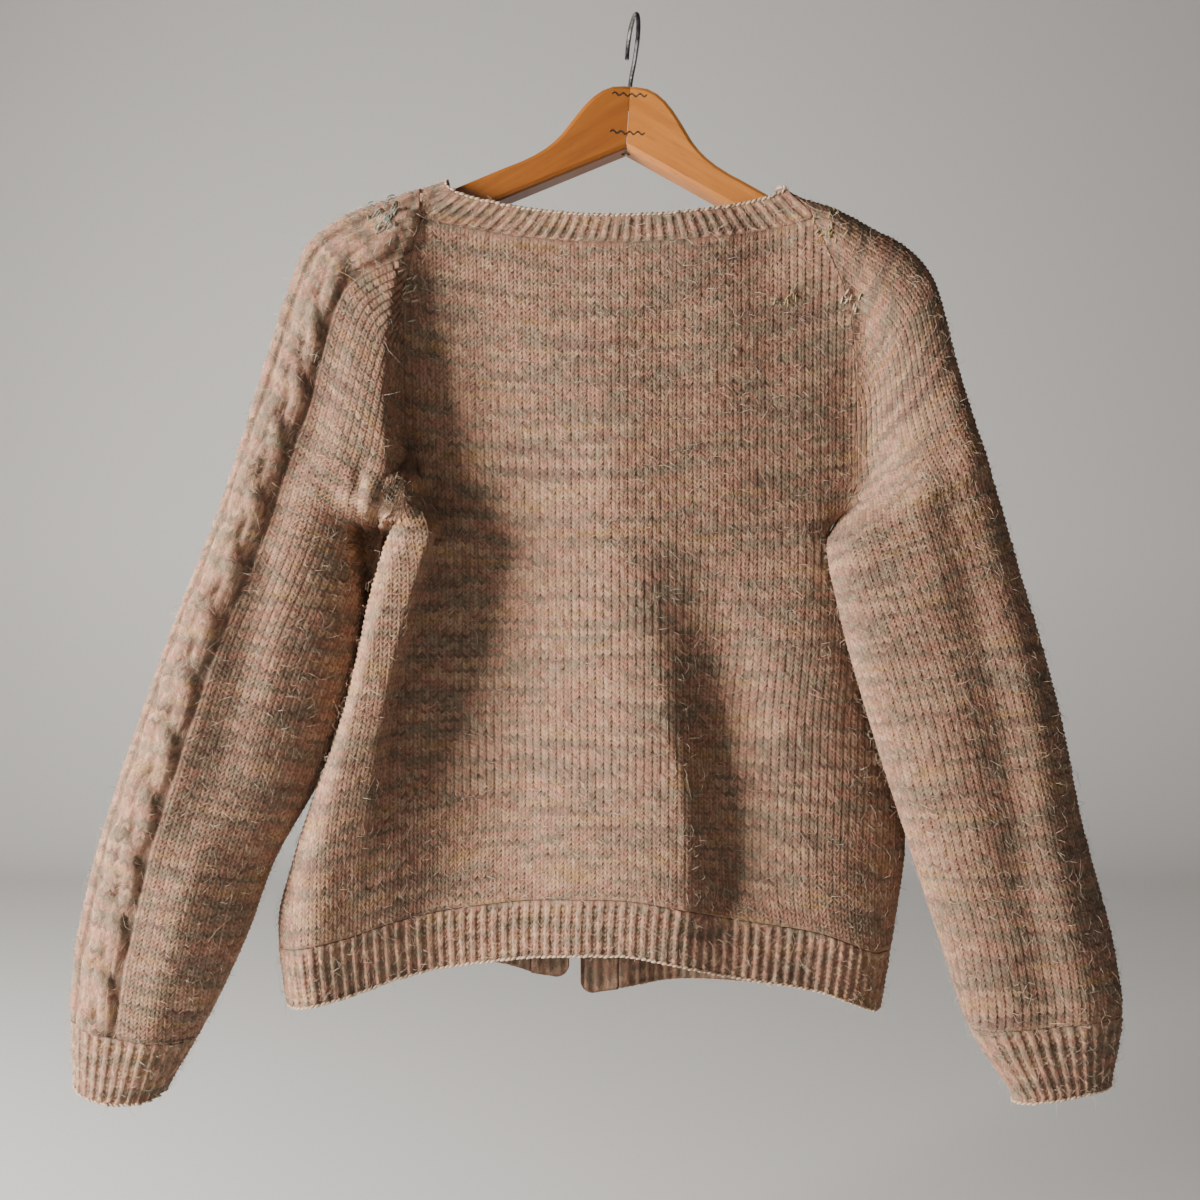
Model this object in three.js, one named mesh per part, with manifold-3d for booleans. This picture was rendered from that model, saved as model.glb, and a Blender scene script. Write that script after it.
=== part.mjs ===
// A hand-knitted raglan cardigan hanging on a two-piece wooden hanger.
// Millimetres, +Z up. The back of the cardigan faces -Y, its open front +Y.
// The origin is the inside top of the hanger's hook, where a rail or peg holds it.

import * as THREE from "three";
import { mergeVertices } from "three/addons/utils/BufferGeometryUtils.js";
import Module from "manifold-3d";

const wasm = await Module();
wasm.setup();

// ---------------------------------------------------------------- driving sizes

const WALL = 3; // knitted fabric
const BAND_WALL = 3.2; // ribbed bands are a little thicker
const GAP = 0.3; // between neighbouring pieces

const HEM_LEVEL = -672; // cast-on edge at the middle of the back, before it droops
const NECK_LEVEL = -169; // neck seam at the middle of the back
const RIB_HEIGHT = 40; // ribbed hem
const NECKBAND_LIFT = 19;
const NECKBAND_TAPER = 0.87; // the band's free edge is this much narrower than its seam
const NECKBAND_DEPTH_TAPER = 0.97;
const NECK_MIDDLE_X = -13;
const BACK_NECK_RISE = 16; // from the middle of the back neck up to its ends
const BACK_NECK_MIDDLE_X = -11;
const BACK_NECK_HALF_WIDTH = 136;

const FRONT_NECK_LEVEL = -212;
const BAND_WIDTH = 28; // ribbed bands down the open front
const LEFT_OPENING_X = -47;
const RIGHT_OPENING_X = -39;
const FRONT_MIDDLE_X = (LEFT_OPENING_X + RIGHT_OPENING_X) / 2;

const HANGER_ROLL = THREE.MathUtils.degToRad(3.4);
const HANGER_SWEEP = Math.tan(THREE.MathUtils.degToRad(6));
const HANGER_THICKNESS = 21;
const WIRE_RADIUS = 1.65;

// ---------------------------------------------------------------- small maths

const lerp = (a, b, t) => a + (b - a) * t;
const clamp01 = (t) => Math.min(1, Math.max(0, t));

function ease(from, to, value) {
  const t = clamp01((value - from) / (to - from));
  return t * t * (3 - 2 * t);
}

// A smooth curve through points that never overshoots them (monotone cubic).
function smoothThrough(xs, ys, x) {
  const last = xs.length - 1;
  if (x <= xs[0]) return ys[0];
  if (x >= xs[last]) return ys[last];
  let i = 0;
  while (x > xs[i + 1]) i += 1;
  const secant = (k) => (ys[k + 1] - ys[k]) / (xs[k + 1] - xs[k]);
  const slopeAt = (k) => {
    if (k === 0) return secant(0);
    if (k === last) return secant(last - 1);
    const before = secant(k - 1);
    const after = secant(k);
    return before * after <= 0 ? 0 : (2 * before * after) / (before + after);
  };
  const width = xs[i + 1] - xs[i];
  const t = (x - xs[i]) / width;
  const t2 = t * t;
  const t3 = t2 * t;
  return (
    ys[i] * (2 * t3 - 3 * t2 + 1) +
    ys[i + 1] * (3 * t2 - 2 * t3) +
    slopeAt(i) * width * (t3 - 2 * t2 + t) +
    slopeAt(i + 1) * width * (t3 - t2)
  );
}

// rows are [z, a, b, ...] from high z to low z; gives back the values at one z.
function atLevel(rows, z) {
  const keys = rows.map((row) => -row[0]);
  return rows[0].slice(1).map((_, column) =>
    smoothThrough(keys, rows.map((row) => row[column + 1]), -z));
}

// ---------------------------------------------------------------- body of the cardigan
// Each line runs down the cloth: [z, x, how far it stands out from the mid plane].

const LEFT_SEAM = [ // raglan seam and underarm; then where the sleeve lies against the side
  [-151, -149, 31, 2], [-183, -157, 29, 6], [-213, -162, 24, 12], [-244, -163, 18, 18],
  [-275, -163, 14, 20], [-335, -159, 13, 14], [-358, -166, 9, 4], [-370, -182, 5, -5],
  [-392, -186, 5, -5], [-430, -191, 4, -4], [-471, -199, 4, -4], [-516, -212, 5, -5],
  [-545, -223, 6, -6],
];
const RIGHT_SEAM = [ // raglan seam and underarm
  [-153, 124, 31, 4], [-181, 138, 29, 6], [-211, 150, 25, 12], [-246, 155, 20, 17],
  [-280, 157, 16, 19], [-332, 158, 15, 13], [-355, 149, 13, 2], [-370, 139, 11, -11],
];
const LEFT_SIDE = [...LEFT_SEAM, // the body's side below the underarm
  [-561, -229, 5, -5], [-605, -244, 0, 0], [-650, -255, -3, 3], [-712, -248, -3, 3],
];
const RIGHT_SIDE = [...RIGHT_SEAM,
  [-381, 146, 8, -8], [-395, 159, 2, -2], [-418, 170, -2, 2], [-491, 181, -5, 5],
  [-542, 190, -5, 5], [-590, 196, -5, 5], [-648, 189, -5, 5], [-712, 178, -5, 5],
];
const LEFT_UNDERARM = [...LEFT_SEAM, // the sleeve's inner edge below the underarm
  [-561, -232, 10, -10], [-605, -256, 15, -15], [-649, -271, 20, -20], [-690, -289, 22, -22],
  [-722, -306, 20, -20], [-757, -327, 20, -20],
];
const RIGHT_UNDERARM = [...RIGHT_SEAM,
  [-381, 133, 34, -34], [-427, 141, 36, -36], [-503, 162, 36, -36], [-583, 188, 34, -34],
  [-664, 215, 30, -30], [-716, 233, 28, -28], [-764, 264, 26, -26],
];

const BACK_LINES = [
  [ // roll of cloth from the left underarm down the side
    [-160, -128, 30], [-214, -143, 23], [-291, -148, 15], [-340, -149, 15], [-356, -148, 36],
    [-372, -152, 50], [-391, -161, 50], [-446, -178, 50], [-500, -193, 48], [-555, -206, 46],
    [-610, -218, 42], [-667, -221, 38], [-712, -221, 36],
  ],
  [ // foot of that roll
    [-160, -115, 30], [-214, -131, 23], [-291, -139, 14], [-340, -134, 13], [-372, -133, 18],
    [-391, -140, 17], [-446, -156, 17], [-500, -168, 21], [-555, -172, 27], [-610, -180, 30],
    [-667, -186, 30], [-712, -186, 29],
  ],
  [ // shaded trough
    [-160, -94, 30], [-214, -108, 24], [-291, -118, 17], [-340, -112, 13], [-391, -110, 12],
    [-446, -122, 12], [-500, -122, 13], [-555, -110, 14], [-610, -122, 16], [-667, -134, 20],
    [-712, -134, 20],
  ],
  [ // broad bulge down the middle
    [-168, -11, 30], [-293, -8, 29], [-391, -4, 33], [-446, 12, 36], [-501, 20, 39],
    [-556, 30, 42], [-610, 33, 42], [-667, 27, 38], [-712, 27, 37],
  ],
  [ // narrow trough right of the bulge
    [-168, 59, 30], [-334, 59, 28], [-390, 61, 27], [-446, 61, 25], [-502, 65, 22],
    [-558, 70, 22], [-614, 73, 23], [-669, 73, 27], [-712, 73, 27],
  ],
  [ // soft shelf beside the right sleeve
    [-165, 100, 30], [-292, 101, 27], [-334, 105, 27], [-390, 108, 28], [-446, 104, 29],
    [-502, 108, 27], [-558, 116, 25], [-614, 122, 25], [-671, 124, 24], [-712, 124, 24],
  ],
];
const BACK_COLUMNS = [4, 3, 3, 4, 3, 3, 4]; // steps between neighbouring lines, left to right

const FRONT_LEFT_LINES = [
  [ // ridge near the side
    [-150, -138, 4], [-213, -145, 14], [-290, -145, 21], [-360, -150, 24], [-450, -172, 28],
    [-560, -200, 30], [-712, -215, 30],
  ],
  [ // trough
    [-150, -120, 7], [-213, -124, 15], [-290, -122, 18], [-360, -122, 17], [-450, -135, 16],
    [-560, -155, 16], [-712, -170, 16],
  ],
  [ // ridge beside the front band
    [-150, -98, 10], [-213, -98, 19], [-290, -98, 22], [-450, -100, 27], [-560, -106, 29],
    [-712, -112, 30],
  ],
  [ // seam to the front band
    [-150, -75, 14], [-213, -75, 20], [-290, -75, 22], [-450, -75, 22], [-712, -75, 20],
  ],
];
const FRONT_RIGHT_LINES = [
  [ // seam to the front band
    [-150, -11, 14], [-213, -11, 20], [-290, -11, 22], [-450, -11, 22], [-712, -11, 20],
  ],
  [ // ridge beside the front band
    [-150, 18, 10], [-213, 18, 19], [-290, 18, 22], [-450, 20, 27], [-560, 24, 29],
    [-712, 28, 30],
  ],
  [ // trough
    [-150, 75, 6], [-213, 75, 15], [-290, 72, 18], [-360, 70, 17], [-450, 76, 16],
    [-560, 86, 16], [-712, 92, 16],
  ],
  [ // ridge near the side
    [-150, 112, 3], [-213, 125, 13], [-290, 128, 19], [-360, 122, 22], [-450, 142, 26],
    [-560, 158, 27], [-712, 156, 28],
  ],
];
const FRONT_COLUMNS = [4, 3, 3, 2]; // from the side to the front band

// How far the cast-on edges lie above or below the hem level: [x, rise].
const BACK_HEM = [
  [-245, -33], [-200, -23], [-164, -12], [-128, -5], [-60, 4], [-10, 6], [30, 0], [67, -10],
  [129, -22], [172, -40],
];
const FRONT_LEFT_HEM = [
  [-245, -32], [-171, -24], [-133, -15], [-113, -15], [-96, -16], [-69, -21], [LEFT_OPENING_X, -24],
];
const FRONT_RIGHT_HEM = [
  [RIGHT_OPENING_X, -36], [-10, -32], [35, -28], [72, -26], [110, -28], [150, -35], [178, -41],
];
const CORNER_RADIUS = 11; // the front bands' lower corners are rounded off

const hemRise = (stops, x) =>
  smoothThrough(stops.map((stop) => stop[0]), stops.map((stop) => stop[1]), x);

const backHem = (x) => hemRise(BACK_HEM, x);

function frontHem(x) {
  const isLeft = x < FRONT_MIDDLE_X;
  const fromEdge = isLeft ? LEFT_OPENING_X - x : x - RIGHT_OPENING_X;
  const short = clamp01(1 - fromEdge / CORNER_RADIUS);
  const corner = CORNER_RADIUS * (1 - Math.sqrt(1 - short * short));
  return hemRise(isLeft ? FRONT_LEFT_HEM : FRONT_RIGHT_HEM, x) + corner;
}

function backNeckRise(x) {
  const across = (x - BACK_NECK_MIDDLE_X) / BACK_NECK_HALF_WIDTH;
  return BACK_NECK_RISE * across * across;
}

// Each front neck edge climbs from the opening to the raglan seam.
const FRONT_NECK_LEFT = { width: 101, rise: 61, power: 2.2 };
const FRONT_NECK_RIGHT = { width: 163, rise: 59, power: 2.6 };

function frontNeckline(x) {
  const isLeft = x < FRONT_MIDDLE_X;
  const fromEdge = isLeft ? LEFT_OPENING_X - x : x - RIGHT_OPENING_X;
  const { width, rise, power } = isLeft ? FRONT_NECK_LEFT : FRONT_NECK_RIGHT;
  return FRONT_NECK_LEVEL + rise * Math.pow(clamp01(fromEdge / width), power);
}

const roundEdge = (t) => Math.sqrt(1 - (1 - t) * (1 - t));

// How far the side of the cloth is a rounded edge (1) or a flat seam to a sleeve (0).
const FLAT_SEAM_ABOVE = -345;
const ROUND_EDGE_BELOW = -372;
const edgeRoundness = (z) => ease(FLAT_SEAM_ABOVE, ROUND_EDGE_BELOW, z);

// One level of a panel: the x and stand-out of every column, from its lines at height z.
function panelColumns(lines, columns, roundSides, z) {
  const xs = lines.map((line) => line[0]);
  const outs = lines.map((line) => line[1]);
  const roundness = edgeRoundness(z);
  const result = [];
  const last = columns.length - 1;
  columns.forEach((steps, span) => {
    for (let k = span === 0 ? 0 : 1; k <= steps; k += 1) {
      const even = k / steps;
      const isLeft = span === 0 && roundSides[0];
      const isRight = span === last && roundSides[1];
      let t = even;
      if (isLeft) t = lerp(even, 1 - Math.cos((even * Math.PI) / 2), roundness);
      if (isRight) t = lerp(even, Math.sin((even * Math.PI) / 2), roundness);
      const x = lerp(xs[span], xs[span + 1], t);
      let out = smoothThrough(xs, outs, x);
      if (isLeft) out = lerp(out, lerp(outs[0], outs[1], roundEdge(t)), roundness);
      if (isRight) out = lerp(out, lerp(outs[last + 1], outs[last], roundEdge(1 - t)), roundness);
      result.push([x, out]);
    }
  });
  return result;
}

const backLevel = (z) => {
  const left = atLevel(LEFT_SIDE, z);
  const right = atLevel(RIGHT_SIDE, z);
  const inner = BACK_LINES.map((line) => atLevel(line, z));
  const lines = [[left[0], left[1]], ...inner, [right[0], right[1]]];
  return panelColumns(lines, BACK_COLUMNS, [true, true], z);
};

const frontLeftLevel = (z) => {
  const side = atLevel(LEFT_SIDE, z);
  const lines = [[side[0], side[2]], ...FRONT_LEFT_LINES.map((line) => atLevel(line, z))];
  return panelColumns(lines, FRONT_COLUMNS, [true, false], z);
};

const frontRightLevel = (z) => {
  const side = atLevel(RIGHT_SIDE, z);
  const lines = [...FRONT_RIGHT_LINES.map((line) => atLevel(line, z)), [side[0], side[2]]];
  return panelColumns(lines, [...FRONT_COLUMNS].reverse(), [false, true], z);
};

// Rows of points at the given heights, each measured at the middle of the back.
function panelRows({ level, facing, bottom, top }, levels) {
  const count = level(HEM_LEVEL).length;
  return levels.map((middle) => {
    const v = (middle - HEM_LEVEL) / (NECK_LEVEL - HEM_LEVEL);
    const points = [];
    for (let column = 0; column < count; column += 1) {
      let z = middle;
      for (let pass = 0; pass < 4; pass += 1) {
        const x = level(z)[column][0];
        z = middle
          + bottom(x) * ease(HEM_CURVE_TO, 0, v)
          + (top(x) - NECK_LEVEL) * ease(NECK_CURVE_FROM, 1, v);
      }
      const [x, out] = level(z)[column];
      points.push(new THREE.Vector3(x, facing * out, z));
    }
    return points;
  });
}

// ---------------------------------------------------------------- sleeves
// Each row is a ring round the arm, from the neck down to the cuff's edge: the outer edge's
// x, z and stand-out; the inner edge's z; the highest stand-out behind and the lowest in front;
// and 0 where the ring is open to the body or 1 where it is a closed tube.

const LEFT_RINGS = [
  [-150, -129, 16, -151, 31.5, -3, 0],
  [-174, -137, 18, -183, 37, -8, 0],
  [-203, -149, 21, -213, 41, -12, 0],
  [-229, -169, 22, -244, 43, -18, 0],
  [-242, -199, 22, -275, 45, -20, 0],
  [-261, -261, 24, -335, 48, -16, 0.1],
  [-269, -290, 25, -358, 50, -14, 0.5],
  [-278, -321, 26, -370, 50, -12, 0.9],
  [-292, -362, 27, -392, 50, -10, 1],
  [-324, -446, 28, -471, 50, -8, 1],
  [-354, -530, 28, -561, 50, -4, 1],
  [-382, -622, 26, -649, 49, 0, 1],
  [-391, -666, 24, -690, 48, -1, 1],
  [-394, -706, 22, -722, 46, -4, 1],
  [-393, -752, 20, -757, 42, -4, 1],
];
const RIGHT_RINGS = [
  [118, -136, 13, -153, 31.5, -5, 0],
  [139, -143, 15, -181, 37, -8, 0],
  [165, -157, 18, -211, 41, -12, 0],
  [190, -171, 21, -246, 45, -17, 0],
  [208, -193, 24, -280, 49, -19, 0],
  [225, -259, 29, -332, 54, -13, 0.1],
  [233, -289, 32, -355, 56, -2, 0.5],
  [241, -316, 34, -370, 58, 8, 0.9],
  [247, -337, 35, -381, 60, 14, 1],
  [265, -401, 36, -427, 61, 16, 1],
  [290, -487, 36, -503, 61, 18, 1],
  [309, -574, 34, -583, 59, 14, 1],
  [332, -660, 30, -664, 54, 8, 1],
  [338, -705, 28, -716, 50, 4, 1],
  [332, -756, 26, -768, 42, 8, 1],
];
const CUFF_RING = 13; // the cuff is sewn on at this ring

// Folds along a sleeve's back: [ring, place across (0 inner, 1 outer), half width, height].
const LEFT_FOLDS = [
  [[3, 0.45, 0.12, 0], [5, 0.6, 0.14, -5], [8, 0.64, 0.14, -7], [10, 0.5, 0.14, -3], [11, 0.5, 0.14, 0]],
  [[10, 0.4, 0.16, 0], [11, 0.36, 0.16, 4], [13, 0.3, 0.16, 3], [14, 0.3, 0.16, 0]],
];
const RIGHT_FOLDS = [
  [[4, 0.6, 0.14, 0], [7, 0.72, 0.12, -3], [10, 0.66, 0.13, -4], [12, 0.5, 0.13, -3], [14, 0.45, 0.13, 0]],
  [[9, 0.9, 0.12, 0], [10, 0.85, 0.12, 2], [12, 0.75, 0.12, 2], [14, 0.7, 0.12, 0]],
];

const ringAt = (rings, place) => {
  const keys = rings.map((_, index) => index);
  return rings[0].map((_, column) => smoothThrough(keys, rings.map((ring) => ring[column]), place));
};

function foldHeight(folds, place, across) {
  let height = 0;
  for (const fold of folds) {
    const keys = fold.map((stop) => stop[0]);
    const [middle, width, size] = [1, 2, 3].map((column) =>
      smoothThrough(keys, fold.map((stop) => stop[column]), place));
    const beyond = place < keys[0] || place > keys[keys.length - 1];
    if (!beyond) height += size * Math.exp(-(((across - middle) / width) ** 2));
  }
  return height * Math.sin(Math.PI * across);
}

const SEAM_DIP_WIDTH = 0.08;
const SHOULDER_POWER = 3;
const TUBE_POWER = 2.4;

// A point on the sleeve: side is +1 on the back, -1 on the front; across runs 0 inner to 1 outer.
function sleevePoint({ rings, underarm, folds, droop }, place, side, across) {
  const [ox, oz, oOut, iz, back, front, closed] = ringAt(rings, place);
  const [ix, iBack, iFront] = atLevel(underarm, iz);
  const seamOut = side > 0 ? iBack : -iFront;
  const crest = side > 0 ? back : front;
  const bow = Math.pow(1 - Math.pow(Math.abs(1 - 2 * across), TUBE_POWER), 1 / TUBE_POWER);
  const tube = lerp(seamOut, oOut, across) + (crest - lerp(seamOut, oOut, 0.5)) * bow;
  const shoulder = Math.pow(1 - Math.pow(across, SHOULDER_POWER), 1 / SHOULDER_POWER);
  const dip = (crest - seamOut) * Math.exp(-((across / SEAM_DIP_WIDTH) ** 2));
  const cap = lerp(oOut, crest, shoulder) - dip;
  let out = lerp(cap, tube, closed);
  if (side > 0) out += foldHeight(folds, place, across);
  const sag = side > 0 ? droop * bow * ease(CUFF_RING - 1, CUFF_RING + 1, place) : 0;
  return new THREE.Vector3(lerp(ix, ox, across), -out, lerp(iz, oz, across) - sag);
}

// Rows run down the sleeve; columns run from the seam over the back, round to the front.
function sleeveRows(sleeve, places, columns) {
  return places.map((place) => {
    const points = [];
    for (let column = 0; column <= columns; column += 1) {
      const round = (column / columns) * 2;
      const side = round <= 1 ? 1 : -1;
      const half = side > 0 ? round : 2 - round;
      const across = (1 - Math.cos(half * Math.PI)) / 2;
      const point = sleevePoint(sleeve, place, side, across);
      point.x += sleeve.seamShift * (1 - across);
      points.push(point);
    }
    return points;
  });
}

// ---------------------------------------------------------------- cloth from rows of points

function rowNormals(grid, outside) {
  const rows = grid.length;
  const columns = grid[0].length;
  return grid.map((points, r) => points.map((_, c) => {
    const along = grid[Math.min(r + 1, rows - 1)][c].clone().sub(grid[Math.max(r - 1, 0)][c]);
    const across = points[Math.min(c + 1, columns - 1)].clone().sub(points[Math.max(c - 1, 0)]);
    return across.cross(along).normalize().multiplyScalar(outside);
  }));
}

// A closed wall: the outer points, the same points moved in, and a rim round the edge.
function clothGeometry(grid, normals, wall, outside) {
  const rows = grid.length;
  const columns = grid[0].length;
  const inner = grid.map((points, r) =>
    points.map((point, c) => point.clone().addScaledVector(normals[r][c], -wall)));
  const positions = [];
  for (const points of [...grid, ...inner]) {
    for (const point of points) positions.push(point.x, point.y, point.z);
  }
  const outerAt = (r, c) => r * columns + c;
  const innerAt = (r, c) => (rows + r) * columns + c;
  const indices = [];
  const quad = (a, b, c, d) => indices.push(a, b, c, a, c, d);
  for (let r = 0; r < rows - 1; r += 1) {
    for (let c = 0; c < columns - 1; c += 1) {
      quad(outerAt(r, c), outerAt(r, c + 1), outerAt(r + 1, c + 1), outerAt(r + 1, c));
      quad(innerAt(r, c), innerAt(r + 1, c), innerAt(r + 1, c + 1), innerAt(r, c + 1));
    }
  }
  for (let c = 0; c < columns - 1; c += 1) {
    quad(outerAt(0, c), innerAt(0, c), innerAt(0, c + 1), outerAt(0, c + 1));
    quad(outerAt(rows - 1, c), outerAt(rows - 1, c + 1), innerAt(rows - 1, c + 1), innerAt(rows - 1, c));
  }
  for (let r = 0; r < rows - 1; r += 1) {
    quad(outerAt(r, 0), outerAt(r + 1, 0), innerAt(r + 1, 0), innerAt(r, 0));
    quad(outerAt(r, columns - 1), innerAt(r, columns - 1), innerAt(r + 1, columns - 1),
      outerAt(r + 1, columns - 1));
  }
  if (outside < 0) {
    for (let k = 0; k < indices.length; k += 3) {
      [indices[k + 1], indices[k + 2]] = [indices[k + 2], indices[k + 1]];
    }
  }
  const geometry = new THREE.BufferGeometry();
  geometry.setAttribute("position", new THREE.Float32BufferAttribute(positions, 3));
  geometry.setIndex(indices);
  return geometry;
}

// ---------------------------------------------------------------- materials and the group

const group = new THREE.Group();

const WOOL = { color: 0x9a7b6b, roughness: 0.95, metalness: 0 };
const RIBBED_WOOL = { color: 0xa3826f, roughness: 0.95, metalness: 0 };
const BEECH = { color: 0xb87638, roughness: 0.5, metalness: 0 };
const STEEL = { color: 0x4a4a4c, roughness: 0.4, metalness: 0.9 };

function add(name, geometry, finish) {
  const mesh = new THREE.Mesh(geometry, new THREE.MeshStandardMaterial(finish));
  mesh.name = name;
  group.add(mesh);
}

// ---------------------------------------------------------------- back, fronts and hems

const NECK_CURVE_FROM = 0.35; // the neck's curve dies away down to this part of the height
const HEM_CURVE_TO = 0.5; // and the hem's curve up to this part

const backTop = (x) => NECK_LEVEL + backNeckRise(x);
const RIB_LEVEL = HEM_LEVEL + RIB_HEIGHT;
const RIB_LEVELS = [HEM_LEVEL, HEM_LEVEL + RIB_HEIGHT / 2, RIB_LEVEL];
const PANEL_LEVELS = [ // closer together beside the underarm
  -600, -565, -530, -495, -460, -430, -405, -389, -378, -370, -362, -353, -340, -320, -295,
  -266, -235, -208, -187, NECK_LEVEL,
];

const PANELS = [
  { name: "back", level: backLevel, facing: -1, bottom: backHem, top: backTop },
  { name: "front_left", level: frontLeftLevel, facing: 1, bottom: frontHem, top: frontNeckline },
  { name: "front_right", level: frontRightLevel, facing: 1, bottom: frontHem, top: frontNeckline },
];

// Along a seam both pieces' walls run the same way: straight back or forward beside a sleeve,
// turning straight sideways below the underarm.
function settleSeam(points, normals, column, facing, side) {
  points[column].y += facing * GAP;
  const turn = edgeRoundness(points[column].z);
  normals[column].set(side * turn, facing * (1 - turn), 0).normalize();
}

// A ribbed edge and its panel share one row of points; the panel starts a gap further on.
function splitAt(row, grid, normals, shift) {
  const movedOn = grid.map((points, r) =>
    points.map((point) => (r === row ? point.clone().add(shift) : point)));
  return [
    { grid: grid.slice(0, row + 1), normals: normals.slice(0, row + 1) },
    { grid: movedOn.slice(row), normals: normals.slice(row) },
  ];
}

const neckEdges = {};
for (const panel of PANELS) {
  const sides = { back: [-1, 1], front_left: [-1], front_right: [1] }[panel.name];
  const grid = panelRows(panel, [...RIB_LEVELS, ...PANEL_LEVELS]);
  const outside = -panel.facing;
  const normals = rowNormals(grid, outside);
  for (const side of sides) {
    const column = side < 0 ? 0 : grid[0].length - 1;
    grid.forEach((points, r) => settleSeam(points, normals[r], column, panel.facing, side));
  }
  const seamGap = new THREE.Vector3(0, 0, GAP);
  const [rib, body] = splitAt(RIB_LEVELS.length - 1, grid, normals, seamGap);
  add(`${panel.name}_panel`, clothGeometry(body.grid, body.normals, WALL, outside), WOOL);
  add(`${panel.name}_hem_rib`, clothGeometry(rib.grid, rib.normals, WALL, outside), RIBBED_WOOL);
  neckEdges[panel.name] = { points: grid[grid.length - 1], normals: normals[normals.length - 1] };
}

// ---------------------------------------------------------------- bands down the open front

const BAND_ROWS = 16;
const BAND_PLACES = [0, 0.6, 0.75, 0.9, 1]; // from the seam to the free edge, closer at the corner
const BAND_DIP = 2; // the free edge lies this much nearer the body

function frontBand(name, seamLines, seamX, edgeX) {
  const grid = [];
  for (let row = 0; row <= BAND_ROWS; row += 1) {
    const v = row / BAND_ROWS;
    const points = [];
    for (const t of BAND_PLACES) {
      const x = lerp(seamX, edgeX, t);
      const z = lerp(HEM_LEVEL + frontHem(x), frontNeckline(x) - GAP, v);
      const [, out] = atLevel(seamLines, z);
      points.push(new THREE.Vector3(x, out - BAND_DIP * t * t, z));
    }
    if (seamX > edgeX) points.reverse();
    grid.push(points);
  }
  add(name, clothGeometry(grid, rowNormals(grid, -1), BAND_WALL, -1), RIBBED_WOOL);
}

frontBand("front_band_left", FRONT_LEFT_LINES[3], LEFT_OPENING_X - BAND_WIDTH + GAP, LEFT_OPENING_X);
frontBand("front_band_right", FRONT_RIGHT_LINES[0], RIGHT_OPENING_X + BAND_WIDTH - GAP, RIGHT_OPENING_X);

// ---------------------------------------------------------------- sleeves and cuffs

const SLEEVE_COLUMNS = 16;
const SEAM_SHIFT = 1.4; // the sleeve stays this far from the raglan seam's line
const TRUE_COLUMNS = 3; // beside the seams, the wall's edge under the neckband runs straight
const ARM_PLACES = [
  0, 0.5, 1, 1.5, 2, 2.5, 3, 3.5, 4, 4.5, 5, 5.5, 6, 6.35, 6.7, 7, 7.35, 7.7, 8, 8.6, 9.3,
  10, 10.6, 11.3, 12, 12.5,
];
const CUFF_PLACES = [CUFF_RING, CUFF_RING + 0.5, CUFF_RING + 1];

const SLEEVES = [
  {
    name: "left", rings: LEFT_RINGS, underarm: LEFT_UNDERARM, folds: LEFT_FOLDS,
    seamShift: -SEAM_SHIFT, droop: 10, outside: 1,
  },
  {
    name: "right", rings: RIGHT_RINGS, underarm: RIGHT_UNDERARM, folds: RIGHT_FOLDS,
    seamShift: SEAM_SHIFT, droop: -1, outside: -1,
  },
];

for (const sleeve of SLEEVES) {
  const grid = sleeveRows(sleeve, [...ARM_PLACES, ...CUFF_PLACES], SLEEVE_COLUMNS);
  const normals = rowNormals(grid, sleeve.outside);
  grid.forEach((points, r) => {
    settleSeam(points, normals[r], 0, -1, sleeve.outside);
    settleSeam(points, normals[r], SLEEVE_COLUMNS, 1, sleeve.outside);
  });
  for (let column = 1; column <= TRUE_COLUMNS; column += 1) {
    normals[0][column].set(0, -1, 0);
    normals[0][SLEEVE_COLUMNS - column].set(0, 1, 0);
  }
  const seamGap = new THREE.Vector3(0, 0, -GAP);
  const [arm, cuff] = splitAt(ARM_PLACES.length, grid, normals, seamGap);
  add(`sleeve_${sleeve.name}`, clothGeometry(arm.grid, arm.normals, WALL, sleeve.outside), WOOL);
  add(`cuff_${sleeve.name}`, clothGeometry(cuff.grid, cuff.normals, WALL, sleeve.outside), RIBBED_WOOL);
  neckEdges[sleeve.name] = { points: grid[0], normals: normals[0] };
}

// ---------------------------------------------------------------- neckband

// The seam runs from the left front opening round the back of the neck to the right one.
function neckSeam() {
  const stretch = (edge, reversed) => {
    const stops = edge.points.map((point, k) => ({ point, normal: edge.normals[k] }));
    return reversed ? stops.reverse() : stops;
  };
  const opening = (stop, x) => ({
    point: new THREE.Vector3(x, stop.point.y - BAND_DIP, FRONT_NECK_LEVEL),
    normal: stop.normal,
  });
  const frontLeft = stretch(neckEdges.front_left, true);
  const frontRight = stretch(neckEdges.front_right, true);
  return [
    opening(frontLeft[0], LEFT_OPENING_X),
    ...frontLeft,
    ...stretch(neckEdges.left, true).slice(1, -1),
    ...stretch(neckEdges.back, false),
    ...stretch(neckEdges.right, false).slice(1, -1),
    ...frontRight,
    opening(frontRight[frontRight.length - 1], RIGHT_OPENING_X),
  ];
}

const NECK_GAP = 0.6;
const SHOULDER_LIFT = 0.5; // share of the lift over the shoulders
const SHOULDER_TOP = -132;
const SHOULDER_DEPTH = 20;

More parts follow.
